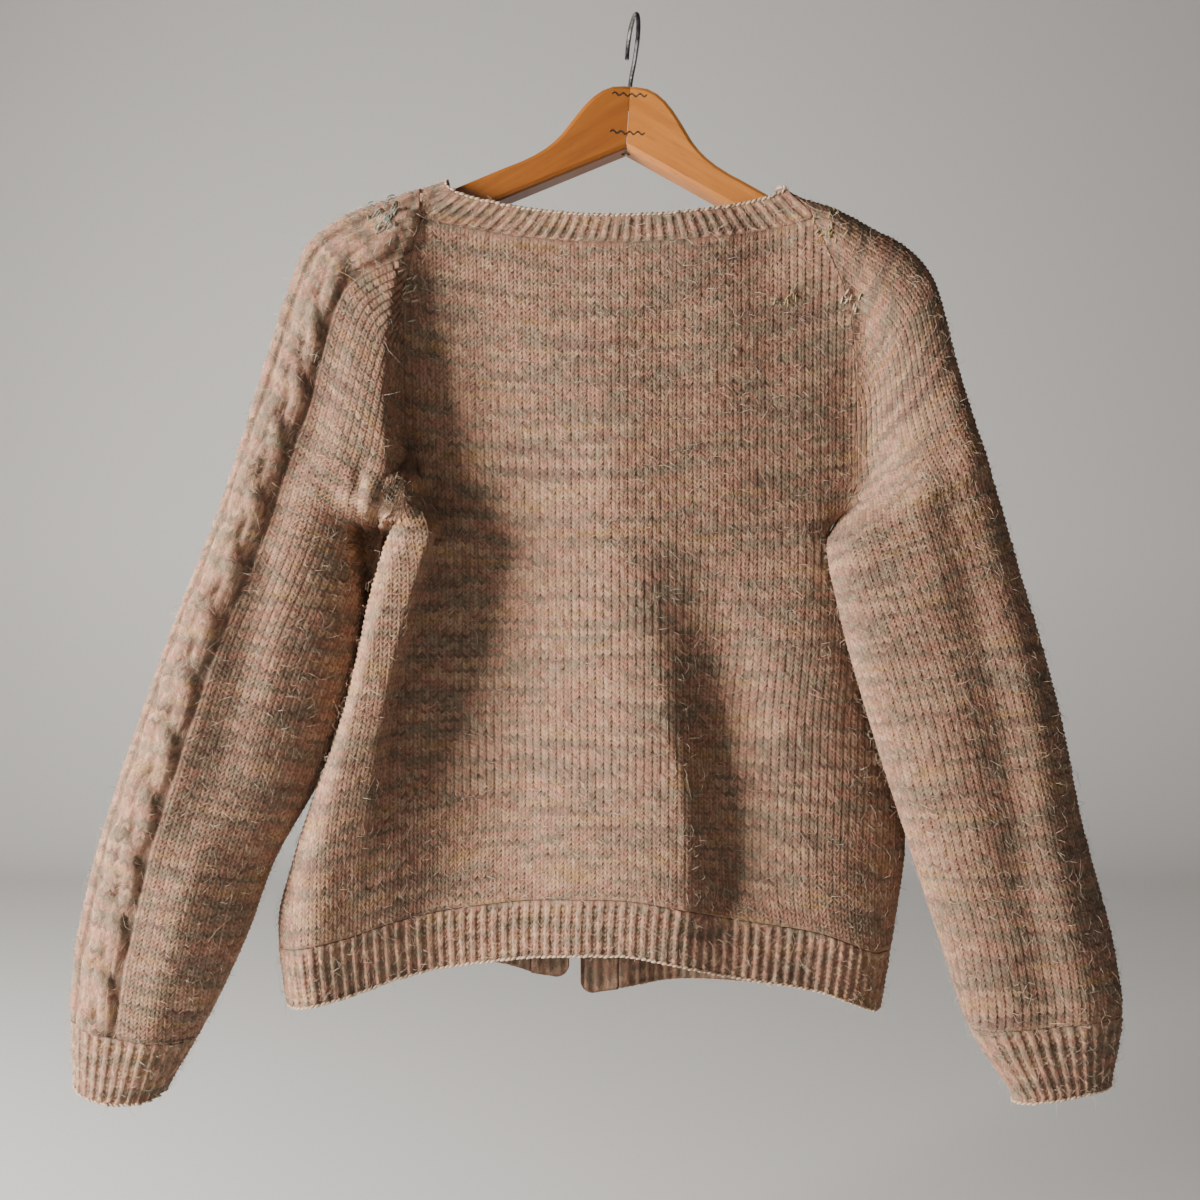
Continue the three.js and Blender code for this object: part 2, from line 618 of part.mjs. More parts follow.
// The band leans in and up from its seam; over the shoulders it lifts less.
function neckband() {
  const seam = neckSeam();
  const freeEdge = seam.map(({ point }) => new THREE.Vector3(
    NECK_MIDDLE_X + (point.x - NECK_MIDDLE_X) * NECKBAND_TAPER,
    point.y * NECKBAND_DEPTH_TAPER,
    point.z + NECKBAND_LIFT
      * lerp(SHOULDER_LIFT, 1, clamp01((SHOULDER_TOP - point.z) / SHOULDER_DEPTH)),
  ));
  const grid = [0, 0.5, 1].map((t) => seam.map(({ point }, k) => {
    const reach = freeEdge[k].clone().sub(point);
    return point.clone().addScaledVector(reach, t + (1 - t) * (NECK_GAP / reach.length()));
  }));
  const normals = rowNormals(grid, 1);
  normals[0] = seam.map(({ normal }) => normal.clone());
  return clothGeometry(grid, normals, WALL, 1);
}

add("neckband", neckband(), RIBBED_WOOL);

// ---------------------------------------------------------------- wooden hanger

const solidFrom = (geometry) => {
  const bare = geometry.clone();
  bare.deleteAttribute("normal");
  bare.deleteAttribute("uv");
  const merged = mergeVertices(bare, 1e-4);
  return new wasm.Manifold(new wasm.Mesh({
    numProp: 3,
    vertProperties: new Float32Array(merged.attributes.position.array),
    triVerts: new Uint32Array(merged.index.array),
  }));
};

const geometryFrom = (solid) => {
  const { vertProperties, triVerts } = solid.getMesh();
  const geometry = new THREE.BufferGeometry();
  geometry.setAttribute("position", new THREE.Float32BufferAttribute(vertProperties, 3));
  geometry.setIndex(Array.from(triVerts));
  return geometry;
};

// The hanger is drawn level, then swept back and rolled about the hook's top.
function hangAskew(geometry) {
  const position = geometry.attributes.position;
  for (let i = 0; i < position.count; i += 1) {
    position.setY(i, position.getY(i) - Math.abs(position.getX(i)) * HANGER_SWEEP);
  }
  geometry.rotateY(HANGER_ROLL);
  return geometry;
}

const CROWN_TOP = -52;
const CROWN_BOTTOM = -96;
const ARM_END = 203;
const ARM_BEVEL = 3;

const JOINT_OVERLAP = 8; // drawn past the joint, then cut off

// The arm's edge: over the crown, down the shoulder to the rounded tip, and back underneath.
function armOutline(side) {
  const top = (z) => z - ARM_BEVEL;
  const under = (z) => z + ARM_BEVEL;
  const tip = ARM_END - ARM_BEVEL;
  const outline = new THREE.Shape();
  outline.moveTo(-JOINT_OVERLAP * side, top(CROWN_TOP));
  outline.lineTo(4 * side, top(CROWN_TOP));
  outline.bezierCurveTo(20 * side, top(CROWN_TOP), 29 * side, top(-66), 40 * side, top(-83));
  outline.bezierCurveTo(48 * side, top(-96), 58 * side, top(-106), 84 * side, top(-118));
  outline.lineTo(120 * side, top(-137));
  outline.lineTo((ARM_END - 20) * side, top(-167));
  outline.quadraticCurveTo(tip * side, top(-173), tip * side, -184);
  outline.quadraticCurveTo(tip * side, under(-192), (ARM_END - 14) * side, under(-187));
  outline.lineTo(100 * side, under(-148));
  outline.lineTo(0, under(CROWN_BOTTOM));
  outline.lineTo(-JOINT_OVERLAP * side, under(CROWN_BOTTOM));
  outline.closePath();
  return outline;
}

function extrudeThroughY(shape, depth, options) {
  const geometry = new THREE.ExtrudeGeometry(shape, { depth, ...options });
  geometry.rotateX(Math.PI / 2);
  geometry.translate(0, depth / 2, 0);
  return geometry;
}

// Corrugated steel strips driven across the joint from the back face.
const FASTENER_LENGTH = 24;
const FASTENER_DEPTH = 6;
const FASTENER_LEVELS = { upper: -59, lower: -86 };

const FASTENER_THICKNESS = 0.8;
const FASTENER_PROUD = 0.2;
const WAVE_HEIGHT = 1.1;
const WAVE_COUNT = 4;
const WAVE_STEPS = 24;

function waveShape(length, thickness) {
  const steps = WAVE_STEPS;
  const height = (x) => WAVE_HEIGHT * Math.sin((x / FASTENER_LENGTH) * Math.PI * 2 * WAVE_COUNT);
  const shape = new THREE.Shape();
  for (let side = 0; side < 2; side += 1) {
    for (let i = 0; i <= steps; i += 1) {
      const t = side === 0 ? i / steps : 1 - i / steps;
      const x = lerp(-length / 2, length / 2, t);
      const z = height(x) + (side === 0 ? -thickness / 2 : thickness / 2);
      if (side === 0 && i === 0) shape.moveTo(x, z);
      else shape.lineTo(x, z);
    }
  }
  shape.closePath();
  return shape;
}

function fastener(level, growth) {
  const shape = waveShape(FASTENER_LENGTH + growth, FASTENER_THICKNESS + growth);
  const geometry = extrudeThroughY(shape, FASTENER_DEPTH + growth, { bevelEnabled: false, steps: 1 });
  geometry.translate(0, -HANGER_THICKNESS / 2 + FASTENER_DEPTH / 2 - FASTENER_PROUD, level);
  return geometry;
}

function boxAt(width, depth, height, x, y, z) {
  const geometry = new THREE.BoxGeometry(width, depth, height);
  geometry.translate(x, y, z);
  return geometry;
}

function uprightRod(radius, length) {
  const geometry = new THREE.CylinderGeometry(radius, radius, length, 20);
  geometry.rotateX(Math.PI / 2);
  return geometry;
}

const HOOK_BORE_DEPTH = 14;
const RIVET_RADIUS = 3;
const RIVET_LENGTH = 5;
const RIVET_PROUD = 0.6;
const CUT_MARGIN = 60; // the blocks that trim the joint are this much wider than needed

function armSolid(side) {
  const plank = extrudeThroughY(armOutline(side), HANGER_THICKNESS - 2 * ARM_BEVEL, {
    bevelEnabled: true,
    bevelSize: ARM_BEVEL,
    bevelThickness: ARM_BEVEL,
    bevelSegments: 2,
    curveSegments: 6,
    steps: 1,
  });
  const beyondJoint = boxAt(
    CUT_MARGIN, CUT_MARGIN, 200, ((GAP - CUT_MARGIN) / 2) * side, 0, (CROWN_TOP + CROWN_BOTTOM) / 2);
  const bore = uprightRod(WIRE_RADIUS + GAP, 2 * HOOK_BORE_DEPTH + 2);
  bore.translate(0, 0, CROWN_TOP);
  const rivetSeat = uprightRod(RIVET_RADIUS + GAP, 2 * RIVET_LENGTH);
  rivetSeat.translate(0, 0, CROWN_BOTTOM);
  const slots = Object.values(FASTENER_LEVELS).map((level) => fastener(level, 2 * GAP));
  let solid = solidFrom(plank);
  for (const cut of [beyondJoint, bore, rivetSeat, ...slots]) {
    solid = solid.subtract(solidFrom(cut));
  }
  return solid;
}

add("hanger_arm_left", hangAskew(geometryFrom(armSolid(-1))), BEECH);
add("hanger_arm_right", hangAskew(geometryFrom(armSolid(1))), BEECH);
for (const [place, level] of Object.entries(FASTENER_LEVELS)) {
  add(`fastener_${place}`, hangAskew(fastener(level, 0)), STEEL);
}

const rivet = uprightRod(RIVET_RADIUS, RIVET_LENGTH);
rivet.translate(0, 0, CROWN_BOTTOM + RIVET_LENGTH / 2 - RIVET_PROUD);
rivet.rotateY(HANGER_ROLL);
add("hook_rivet", rivet, STEEL);

// ---------------------------------------------------------------- wire hook

const HOOK_RADIUS = 20;
const HOOK_TURN = THREE.MathUtils.degToRad(80);
const CROOK_START = -38; // degrees round the crook, from level at the front
const CROOK_END = 188;
const CROOK_STEP = 22.6;

class HookCurve extends THREE.Curve {
  // t runs from the end in the wood, up the stem, round the crook to the tip.
  getPoint(t) {
    const stops = [
      [0, CROWN_TOP - HOOK_BORE_DEPTH], [0, CROWN_TOP - 4], [0, CROWN_TOP + 3], [4, -43], [12, -36],
    ];
    const turn = [];
    for (let angle = CROOK_START; angle <= CROOK_END; angle += CROOK_STEP) {
      const radians = THREE.MathUtils.degToRad(angle);
      turn.push([
        HOOK_RADIUS * Math.cos(radians),
        WIRE_RADIUS - HOOK_RADIUS + HOOK_RADIUS * Math.sin(radians),
      ]);
    }
    const points = [...stops, ...turn].map(([out, z]) => new THREE.Vector3(0, -out, z));
    return new THREE.CatmullRomCurve3(points).getPoint(t);
  }
}

const wireSection = new THREE.Shape();
wireSection.absarc(0, 0, WIRE_RADIUS, 0, Math.PI * 2);
const hook = new THREE.ExtrudeGeometry(wireSection, {
  extrudePath: new HookCurve(),
  steps: 44,
  curveSegments: 4,
  bevelEnabled: false,
});
hook.rotateZ(Math.PI / 2 - HOOK_TURN);
hook.rotateY(HANGER_ROLL);
add("hanger_hook", hook, STEEL);

export default group;
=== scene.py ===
"""The looks of a hand-knitted raglan cardigan on a wooden hanger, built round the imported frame.

Sizes in the tables are millimetres in the frame: +Z up, the cardigan's back towards -Y, and the
origin at the inside top of the hanger's hook. MM turns them into metres.
"""
import math
import bpy
import numpy as np
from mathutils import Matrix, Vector


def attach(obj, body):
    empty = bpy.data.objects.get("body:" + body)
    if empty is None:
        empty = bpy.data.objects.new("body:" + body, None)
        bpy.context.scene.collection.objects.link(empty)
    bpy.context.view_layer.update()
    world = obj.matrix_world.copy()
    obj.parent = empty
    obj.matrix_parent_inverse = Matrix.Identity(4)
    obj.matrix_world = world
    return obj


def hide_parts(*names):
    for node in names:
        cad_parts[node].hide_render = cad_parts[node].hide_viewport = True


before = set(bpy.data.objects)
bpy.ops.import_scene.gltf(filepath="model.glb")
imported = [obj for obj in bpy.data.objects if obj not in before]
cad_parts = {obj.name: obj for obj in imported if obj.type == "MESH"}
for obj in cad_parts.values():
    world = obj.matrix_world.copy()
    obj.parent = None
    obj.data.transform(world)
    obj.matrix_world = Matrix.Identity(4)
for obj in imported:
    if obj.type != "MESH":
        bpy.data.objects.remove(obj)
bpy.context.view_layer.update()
scene = bpy.context.scene

MM = 0.001
WALE = 5.7  # across one stitch
COURSE = 3.4  # up one row of stitches
STEPS_ACROSS = 4  # mesh columns in a stitch
STEPS_UP = 2  # mesh rows in a stitch
FABRIC = 2.6  # thickness of the knitting under its relief

HEM_LEVEL = -672.0  # cast-on edge at the middle of the back
NECK_LEVEL = -169.0  # neck seam at the middle of the back
RIB_HEIGHT = 40.0
LEFT_OPENING_X = -47.0
RIGHT_OPENING_X = -39.0
FRONT_MIDDLE_X = (LEFT_OPENING_X + RIGHT_OPENING_X) / 2
FRONT_NECK_LEVEL = -212.0
BAND_WIDTH = 28.0
CORNER_RADIUS = 11.0


# ---------------------------------------------------------------- camera, light and floor

def add_camera():
    camera = bpy.data.objects.new("camera", bpy.data.cameras.new("camera"))
    camera.location = (-0.0245, -0.9, -0.4183)
    camera.rotation_euler = (math.radians(90), 0, 0)
    camera.data.sensor_width = 36
    camera.data.lens = 37.5
    scene.collection.objects.link(camera)
    scene.camera = camera


def add_area_light(name, place, target, size, watts, colour):
    lamp = bpy.data.lights.new(name, "AREA")
    lamp.shape = "SQUARE"
    lamp.size = size
    lamp.energy = watts
    lamp.color = colour
    light = bpy.data.objects.new(name, lamp)
    light.location = place
    light.rotation_euler = (Vector(target) - Vector(place)).to_track_quat("-Z", "Y").to_euler()
    scene.collection.objects.link(light)


def add_studio():
    world = bpy.data.worlds.new("studio")
    world.use_nodes = True
    background = world.node_tree.nodes["Background"]
    background.inputs["Color"].default_value = (1.0, 0.96, 0.93, 1)
    background.inputs["Strength"].default_value = 0.065
    scene.world = world
    middle = (-0.02, 0, -0.42)
    add_area_light("key_from_the_left", (-2.05, -0.84, -0.18), middle, 0.9, 180, (1.0, 0.945, 0.89))
    add_area_light("soft_front", (0.3, -2.4, 0.2), middle, 1.8, 4, (1.0, 0.96, 0.93))


def add_floor():
    """A pale floor that sweeps up into a wall, far enough away to stay plain."""
    depth, height, turn, steps = 1.9, 3.0, 0.8, 12
    floor_level = -1.05
    profile = [(-3.5, floor_level)]
    for step in range(steps + 1):
        angle = math.pi / 2 * step / steps
        profile.append((depth + turn * math.sin(angle), floor_level + turn * (1 - math.cos(angle))))
    profile.append((depth + turn, height))
    half_width = 5.0
    points = [(side * half_width, y, z) for y, z in profile for side in (-1, 1)]
    faces = [(2 * k, 2 * k + 1, 2 * k + 3, 2 * k + 2) for k in range(len(profile) - 1)]
    mesh = bpy.data.meshes.new("floor")
    mesh.from_pydata(points, [], faces)
    mesh.shade_smooth()
    floor = bpy.data.objects.new("floor", mesh)
    scene.collection.objects.link(floor)
    paint = bpy.data.materials.new("pale_floor")
    paint.use_nodes = True
    shader = paint.node_tree.nodes["Principled BSDF"]
    shader.inputs["Base Color"].default_value = (0.72, 0.72, 0.71, 1)
    shader.inputs["Roughness"].default_value = 0.9
    mesh.materials.append(paint)


add_camera()
add_studio()
add_floor()


# ---------------------------------------------------------------- small maths

def lerp(a, b, t):
    return a + (b - a) * t


def ease(start, end, value):
    t = np.clip((value - start) / (end - start), 0, 1)
    return t * t * (3 - 2 * t)


def bump(value, middle, half_width):
    return np.exp(-(((value - middle) / half_width) ** 2))


def smooth_through(xs, ys, x):
    """A smooth curve through points that never overshoots them; xs and ys may differ per x."""
    x = np.asarray(x, dtype=float)
    xs = np.broadcast_to(xs, x.shape + np.shape(xs)[-1:])
    ys = np.broadcast_to(ys, xs.shape)
    secant = np.diff(ys) / np.diff(xs)
    before, after = secant[..., :-1], secant[..., 1:]
    same_way = before * after > 0
    middle = np.where(same_way, 2 * before * after / np.where(same_way, before + after, 1), 0)
    slope = np.concatenate([secant[..., :1], middle, secant[..., -1:]], axis=-1)
    x = np.clip(x, xs[..., 0], xs[..., -1])
    span = (x[..., None] > xs[..., 1:-1]).sum(-1)

    def pick(values, index):
        return np.take_along_axis(values, index[..., None], -1)[..., 0]

    x0, x1 = pick(xs, span), pick(xs, span + 1)
    width = x1 - x0
    t = (x - x0) / width
    return (
        pick(ys, span) * (2 * t**3 - 3 * t**2 + 1)
        + pick(ys, span + 1) * (3 * t**2 - 2 * t**3)
        + pick(slope, span) * width * (t**3 - 2 * t**2 + t)
        + pick(slope, span + 1) * width * (t**3 - t**2)
    )


def at_level(line, z):
    """The values of a line [z, a, b, ...], listed from the top down, at heights z."""
    table = np.array(line, dtype=float)
    return [smooth_through(-table[:, 0], table[:, k], -z) for k in range(1, table.shape[1])]


# ---------------------------------------------------------------- shape of the body
# Each line runs down the cloth: [z, x, how far it stands out from the mid plane].

LEFT_SEAM = [
    [-151, -149, 31, 2], [-183, -157, 29, 6], [-213, -162, 24, 12], [-244, -163, 18, 18],
    [-275, -163, 14, 20], [-335, -159, 13, 14], [-358, -166, 9, 4], [-370, -182, 5, -5],
    [-392, -186, 5, -5], [-430, -191, 4, -4], [-471, -199, 4, -4], [-516, -212, 5, -5],
    [-545, -223, 6, -6],
]
RIGHT_SEAM = [
    [-153, 124, 31, 4], [-181, 138, 30, 6], [-211, 150, 26, 12], [-246, 155, 21, 17],
    [-280, 157, 18, 19], [-332, 158, 16, 13], [-355, 149, 15, 2], [-370, 139, 11, -11],
]
LEFT_SIDE = LEFT_SEAM + [
    [-561, -229, 5, -5], [-605, -244, 0, 0], [-650, -255, -3, 3], [-712, -248, -3, 3],
]
RIGHT_SIDE = RIGHT_SEAM + [
    [-381, 146, 8, -8], [-395, 159, 2, -2], [-418, 170, -2, 2], [-491, 181, -5, 5],
    [-542, 190, -5, 5], [-590, 196, -5, 5], [-648, 189, -5, 5], [-712, 178, -5, 5],
]
LEFT_UNDERARM = LEFT_SEAM + [
    [-561, -232, 10, -10], [-605, -256, 15, -15], [-649, -271, 20, -20], [-690, -289, 22, -22],
    [-722, -306, 20, -20], [-757, -327, 20, -20],
]
RIGHT_UNDERARM = RIGHT_SEAM + [
    [-381, 133, 34, -34], [-427, 141, 36, -36], [-503, 162, 36, -36], [-583, 188, 34, -34],
    [-664, 215, 30, -30], [-716, 233, 28, -28], [-764, 264, 26, -26],
]

ROLL_FROM_LEFT_UNDERARM = [
    [-160, -128, 30], [-214, -143, 23], [-291, -148, 15], [-325, -154, 17], [-340, -156, 30],
    [-356, -156, 44], [-372, -154, 50], [-391, -161, 50], [-446, -178, 50], [-500, -193, 48],
    [-555, -206, 46], [-610, -218, 42], [-667, -221, 38], [-712, -221, 36],
]
EDGE_OF_ROLL = [
    [-160, -121, 30], [-214, -136, 23], [-291, -143, 14.5], [-340, -150, 26], [-356, -146, 42],
    [-372, -141, 49], [-391, -146, 50], [-446, -162, 49], [-500, -174, 46], [-555, -184, 42],
    [-610, -194, 35], [-667, -201, 34], [-712, -201, 33],
]
FOOT_OF_ROLL = [
    [-160, -115, 30], [-214, -131, 23], [-291, -139, 14], [-340, -142, 13], [-372, -133, 18],
    [-391, -140, 17], [-446, -156, 17], [-500, -168, 21], [-555, -172, 27], [-610, -180, 30],
    [-667, -186, 30], [-712, -186, 29],
]
SHADED_TROUGH = [
    [-160, -94, 30], [-214, -108, 24], [-291, -118, 17], [-340, -112, 13], [-391, -110, 12],
    [-446, -122, 12], [-500, -122, 13], [-555, -110, 14], [-610, -122, 16], [-667, -134, 20],
    [-712, -134, 20],
]
MIDDLE_BULGE = [
    [-168, -11, 30], [-293, -8, 29], [-391, -4, 33], [-446, 12, 36], [-501, 20, 39],
    [-556, 30, 42], [-610, 33, 42], [-667, 27, 38], [-712, 27, 37],
]
NARROW_TROUGH = [
    [-168, 59, 30], [-334, 59, 28], [-390, 61, 27], [-446, 61, 23], [-502, 65, 18],
    [-558, 70, 17], [-614, 73, 19], [-669, 73, 27], [-712, 73, 27],
]
RIGHT_SHELF = [
    [-165, 100, 28], [-292, 101, 24], [-334, 105, 24], [-390, 108, 26], [-446, 104, 29],
    [-502, 108, 27], [-558, 116, 25], [-614, 122, 25], [-671, 124, 24], [-712, 124, 24],
]

FRONT_LEFT_LINES = [
    [[-150, -138, 4], [-213, -145, 14], [-290, -145, 21], [-360, -150, 24], [-450, -172, 28],
     [-560, -200, 30], [-712, -215, 30]],
    [[-150, -120, 7], [-213, -124, 15], [-290, -122, 18], [-360, -122, 17], [-450, -135, 16],
     [-560, -155, 16], [-712, -170, 16]],
    [[-150, -98, 10], [-213, -98, 19], [-290, -98, 22], [-450, -100, 27], [-560, -106, 29],
     [-712, -112, 30]],
    [[-150, -75, 14], [-213, -75, 20], [-290, -75, 22], [-450, -75, 22], [-712, -75, 20]],
]
FRONT_RIGHT_LINES = [
    [[-150, -11, 14], [-213, -11, 20], [-290, -11, 22], [-450, -11, 22], [-712, -11, 20]],
    [[-150, 18, 10], [-213, 18, 19], [-290, 18, 22], [-450, 20, 27], [-560, 24, 29],
     [-712, 28, 30]],
    [[-150, 75, 6], [-213, 75, 15], [-290, 72, 18], [-360, 70, 17], [-450, 76, 16],
     [-560, 86, 16], [-712, 92, 16]],
    [[-150, 112, 3], [-213, 125, 13], [-290, 128, 19], [-360, 122, 22], [-450, 142, 26],
     [-560, 158, 27], [-712, 156, 28]],
]

# How far the cast-on edges lie above or below the hem level: [x, rise].
BACK_HEM = [
    [-245, -33], [-200, -23], [-164, -12], [-128, -5], [-60, 4], [-10, 6], [30, 0], [67, -10],
    [129, -22], [172, -40],
]
FRONT_LEFT_HEM = [
    [-245, -32], [-171, -24], [-133, -15], [-113, -15], [-96, -16], [-69, -21], [-47, -24],
]
FRONT_RIGHT_HEM = [
    [-39, -36], [-10, -32], [35, -28], [72, -26], [110, -28], [150, -35], [178, -41],
]


def rise(stops, x):
    table = np.array(stops, dtype=float)
    return smooth_through(table[:, 0], table[:, 1], x)


def back_hem(x):
    return rise(BACK_HEM, x)


def front_hem(x):
    is_left = x < FRONT_MIDDLE_X
    from_edge = np.where(is_left, LEFT_OPENING_X - x, x - RIGHT_OPENING_X)
    short = np.clip(1 - from_edge / CORNER_RADIUS, 0, 1)
    corner = CORNER_RADIUS * (1 - np.sqrt(1 - short * short))
    return np.where(is_left, rise(FRONT_LEFT_HEM, x), rise(FRONT_RIGHT_HEM, x)) + corner


def back_neck(x):
    return NECK_LEVEL + 16 * ((x + 11) / 136) ** 2


def front_neck(x):
    is_left = x < FRONT_MIDDLE_X
    to_side = np.where(is_left, (LEFT_OPENING_X - x) / 101, (x - RIGHT_OPENING_X) / 163)
    to_side = np.clip(to_side, 0, 1)
    curve = np.where(is_left, 61 * to_side**2.2, 59 * to_side**2.6)
    return FRONT_NECK_LEVEL + curve


def edge_roundness(z):
    """0 where a panel's side is a flat seam to a sleeve, 1 where it rolls round to the front."""
    return ease(-345, -372, z)


def slack(x, z):
    """Small uneven waves that hand-knitted cloth hangs in."""
    return (
        0.9 * np.sin(x / 23 + z / 61 + 0.7) * np.sin(z / 47 + 1.3)
        + 0.6 * np.sin(x / 12.5 - z / 38) * np.sin(z / 29 + x / 60)
    )


POCKET_TOP = -363.0
POCKET_FOOT = -424.0
POCKET_DEPTH = 2.0  # stand-out at the pocket's bottom
POCKET_HALF_WIDTH = 16.0
LIP_SAG = 5.0  # how far the lobe's lip hangs down at its middle
LIP_RISE = 8.0  # and how far it runs up again at its left end
LOBE_HEIGHT = 6.0
CREASE_DEPTH = 3.4
BRIDGE_TOP_X = -172.0  # a ridge of cloth carries the sleeve's edge over into the roll
BRIDGE_FOOT_X = -155.0
BRIDGE_HALF_WIDTH = 21.0
BRIDGE_HEIGHT = 48.0


def underarm(points):
    """The left underarm: a lobe of cloth, creased down its middle, hangs over a dark pocket that
    narrows down the seam, and its right side runs over into the roll."""
    x, z = points[:, 0], points[:, 2]
    out = -points[:, 1]
    seam = at_level(LEFT_SEAM, z)[0]
    lip = POCKET_TOP - LIP_SAG * bump(x, -184, 8) + LIP_RISE * ease(-190, -206, x)
    down = np.clip((lip - z) / (POCKET_TOP - POCKET_FOOT), 0, 1)
    half_width = POCKET_HALF_WIDTH * (1 - down) ** 1.2
    inside = 1 - ease(half_width - 4, half_width + 4, np.abs(x - seam + 3 * (1 - down)))
    pull = inside * ease(0, 5, lip - z) * ease(1.0, 0.8, down)
    ridge_x = lerp(BRIDGE_TOP_X, BRIDGE_FOOT_X, ease(-325, -380, z))
    ridge = np.clip(1 - np.abs((x - ridge_x) / BRIDGE_HALF_WIDTH) ** 3, 0, 1) ** (1 / 3)
    bridge = BRIDGE_HEIGHT * ridge * ease(-306, -338, z) * ease(-400, -378, z)
    lobe = LOBE_HEIGHT * bump(x, -183, 15) * bump(z, -349, 13) * ease(-371, -362, z)
    crease = -CREASE_DEPTH * bump(x, -189 + (z + 340) * 0.08, 4.6)
    crease = crease * ease(-318, -340, z) * ease(-368, -356, z)
    bridged = np.maximum(out, np.where(out > 3, bridge, 0))
    full = bridged + (lobe + crease) * ease(6, 20, bridged)
    moved = lerp(full, np.minimum(out, POCKET_DEPTH), pull)
    nearby = (x < -120) & (z < -300) & (z > -440) & (out > -2)
    return np.stack([x, np.where(nearby, -moved, points[:, 1]), z], -1)


class Panel:
    """A back or front. place runs across it, one unit from each line to the next."""

    def __init__(self, lines, outs, facing, bottom, top, rounded):
        self.lines = lines
        self.outs = outs  # which value of each line is its stand-out
        self.facing = facing
        self.bottom = bottom
        self.top = top
        self.rounded = rounded

    def across(self, z, place):
        values = [at_level(line, z) for line in self.lines]
        xs = np.stack([value[0] for value in values], -1)
        outs = np.stack([value[out] for value, out in zip(values, self.outs)], -1)
        last = len(self.lines) - 2
        span = np.clip(np.floor(place).astype(int), 0, last)
        even = place - span
        roundness = edge_roundness(z)
        is_left = (span == 0) & self.rounded[0]
        is_right = (span == last) & self.rounded[1]
        t = np.where(is_left, lerp(even, 1 - np.cos(even * np.pi / 2), roundness), even)
        t = np.where(is_right, lerp(even, np.sin(even * np.pi / 2), roundness), t)
        x0 = np.take_along_axis(xs, span[:, None], -1)[:, 0]
        x1 = np.take_along_axis(xs, span[:, None] + 1, -1)[:, 0]
        x = lerp(x0, x1, t)
        out = smooth_through(xs, outs, x)
        quarter = np.sqrt(np.clip(1 - (1 - t) ** 2, 0, 1))
        out = np.where(is_left, lerp(out, lerp(outs[:, 0], outs[:, 1], quarter), roundness), out)
        quarter = np.sqrt(np.clip(1 - t**2, 0, 1))
        out = np.where(is_right, lerp(out, lerp(outs[:, -1], outs[:, -2], quarter), roundness), out)
        return x, out

    def point(self, level, place):
        """level is the height at the middle of the back; the hem and neck curve away from it."""
        v = (level - HEM_LEVEL) / (NECK_LEVEL - HEM_LEVEL)
        z = level
        for _ in range(3):
            x, out = self.across(z, place)
            lifted = (self.top(x) - NECK_LEVEL) * ease(0.35, 1, v)
            z = level + self.bottom(x) * ease(0.5, 0, v) + lifted
        x, out = self.across(z, place)
        from_side = np.minimum(place, len(self.lines) - 1 - place)
        out = out + slack(x, z) * ease(0, 0.5, from_side)
        return np.stack([x, self.facing * out, z], -1)


BACK = Panel(
    [LEFT_SIDE, ROLL_FROM_LEFT_UNDERARM, EDGE_OF_ROLL, FOOT_OF_ROLL, SHADED_TROUGH, MIDDLE_BULGE,
     NARROW_TROUGH, RIGHT_SHELF, RIGHT_SIDE],
    [1] * 9, -1, back_hem, back_neck, (True, True))
FRONT_LEFT = Panel(
    [LEFT_SIDE] + FRONT_LEFT_LINES, [2, 1, 1, 1, 1], 1, front_hem, front_neck, (True, False))
FRONT_RIGHT = Panel(
    FRONT_RIGHT_LINES + [RIGHT_SIDE], [1, 1, 1, 1, 2], 1, front_hem, front_neck, (False, True))


# ---------------------------------------------------------------- shape of the sleeves
# Each row is a ring round the arm, from the neck down to the cuff's edge: the outer edge's x, z
# and stand-out; the inner edge's z; the highest stand-out behind and the lowest in front.

LEFT_RINGS = [
    [-150, -129, 16, -151, 31.5, -3], [-174, -137, 18, -183, 37, -8],
    [-203, -149, 21, -213, 41, -12], [-229, -169, 22, -244, 43, -18],
    [-242, -199, 22, -275, 45, -20], [-261, -261, 24, -335, 48, -16],
    [-269, -290, 25, -358, 50, -14], [-278, -321, 26, -370, 50, -12],
    [-292, -362, 27, -392, 50, -10], [-324, -446, 28, -471, 50, -8],
    [-354, -530, 28, -561, 50, -4], [-382, -622, 26, -649, 49, 0],
    [-391, -666, 24, -690, 48, -1], [-394, -706, 22, -722, 46, -4],
    [-393, -752, 20, -757, 42, -4],
]
RIGHT_RINGS = [
    [118, -136, 13, -153, 31.5, -5], [139, -143, 15, -181, 37, -8],
    [165, -157, 18, -211, 38, -12], [190, -171, 21, -246, 40, -17],
    [208, -193, 24, -280, 42, -19], [225, -259, 29, -332, 47, -13],
    [233, -289, 32, -355, 52, -2], [241, -316, 34, -370, 58, 8],
    [247, -337, 35, -381, 60, 14], [265, -401, 36, -427, 61, 16],
    [290, -487, 36, -503, 61, 18], [309, -574, 34, -583, 59, 14],
    [332, -660, 30, -664, 54, 8], [338, -705, 28, -716, 50, 4],
    [332, -756, 26, -768, 42, 8],
]
CUFF_RING = 13
LAST_RING = 14

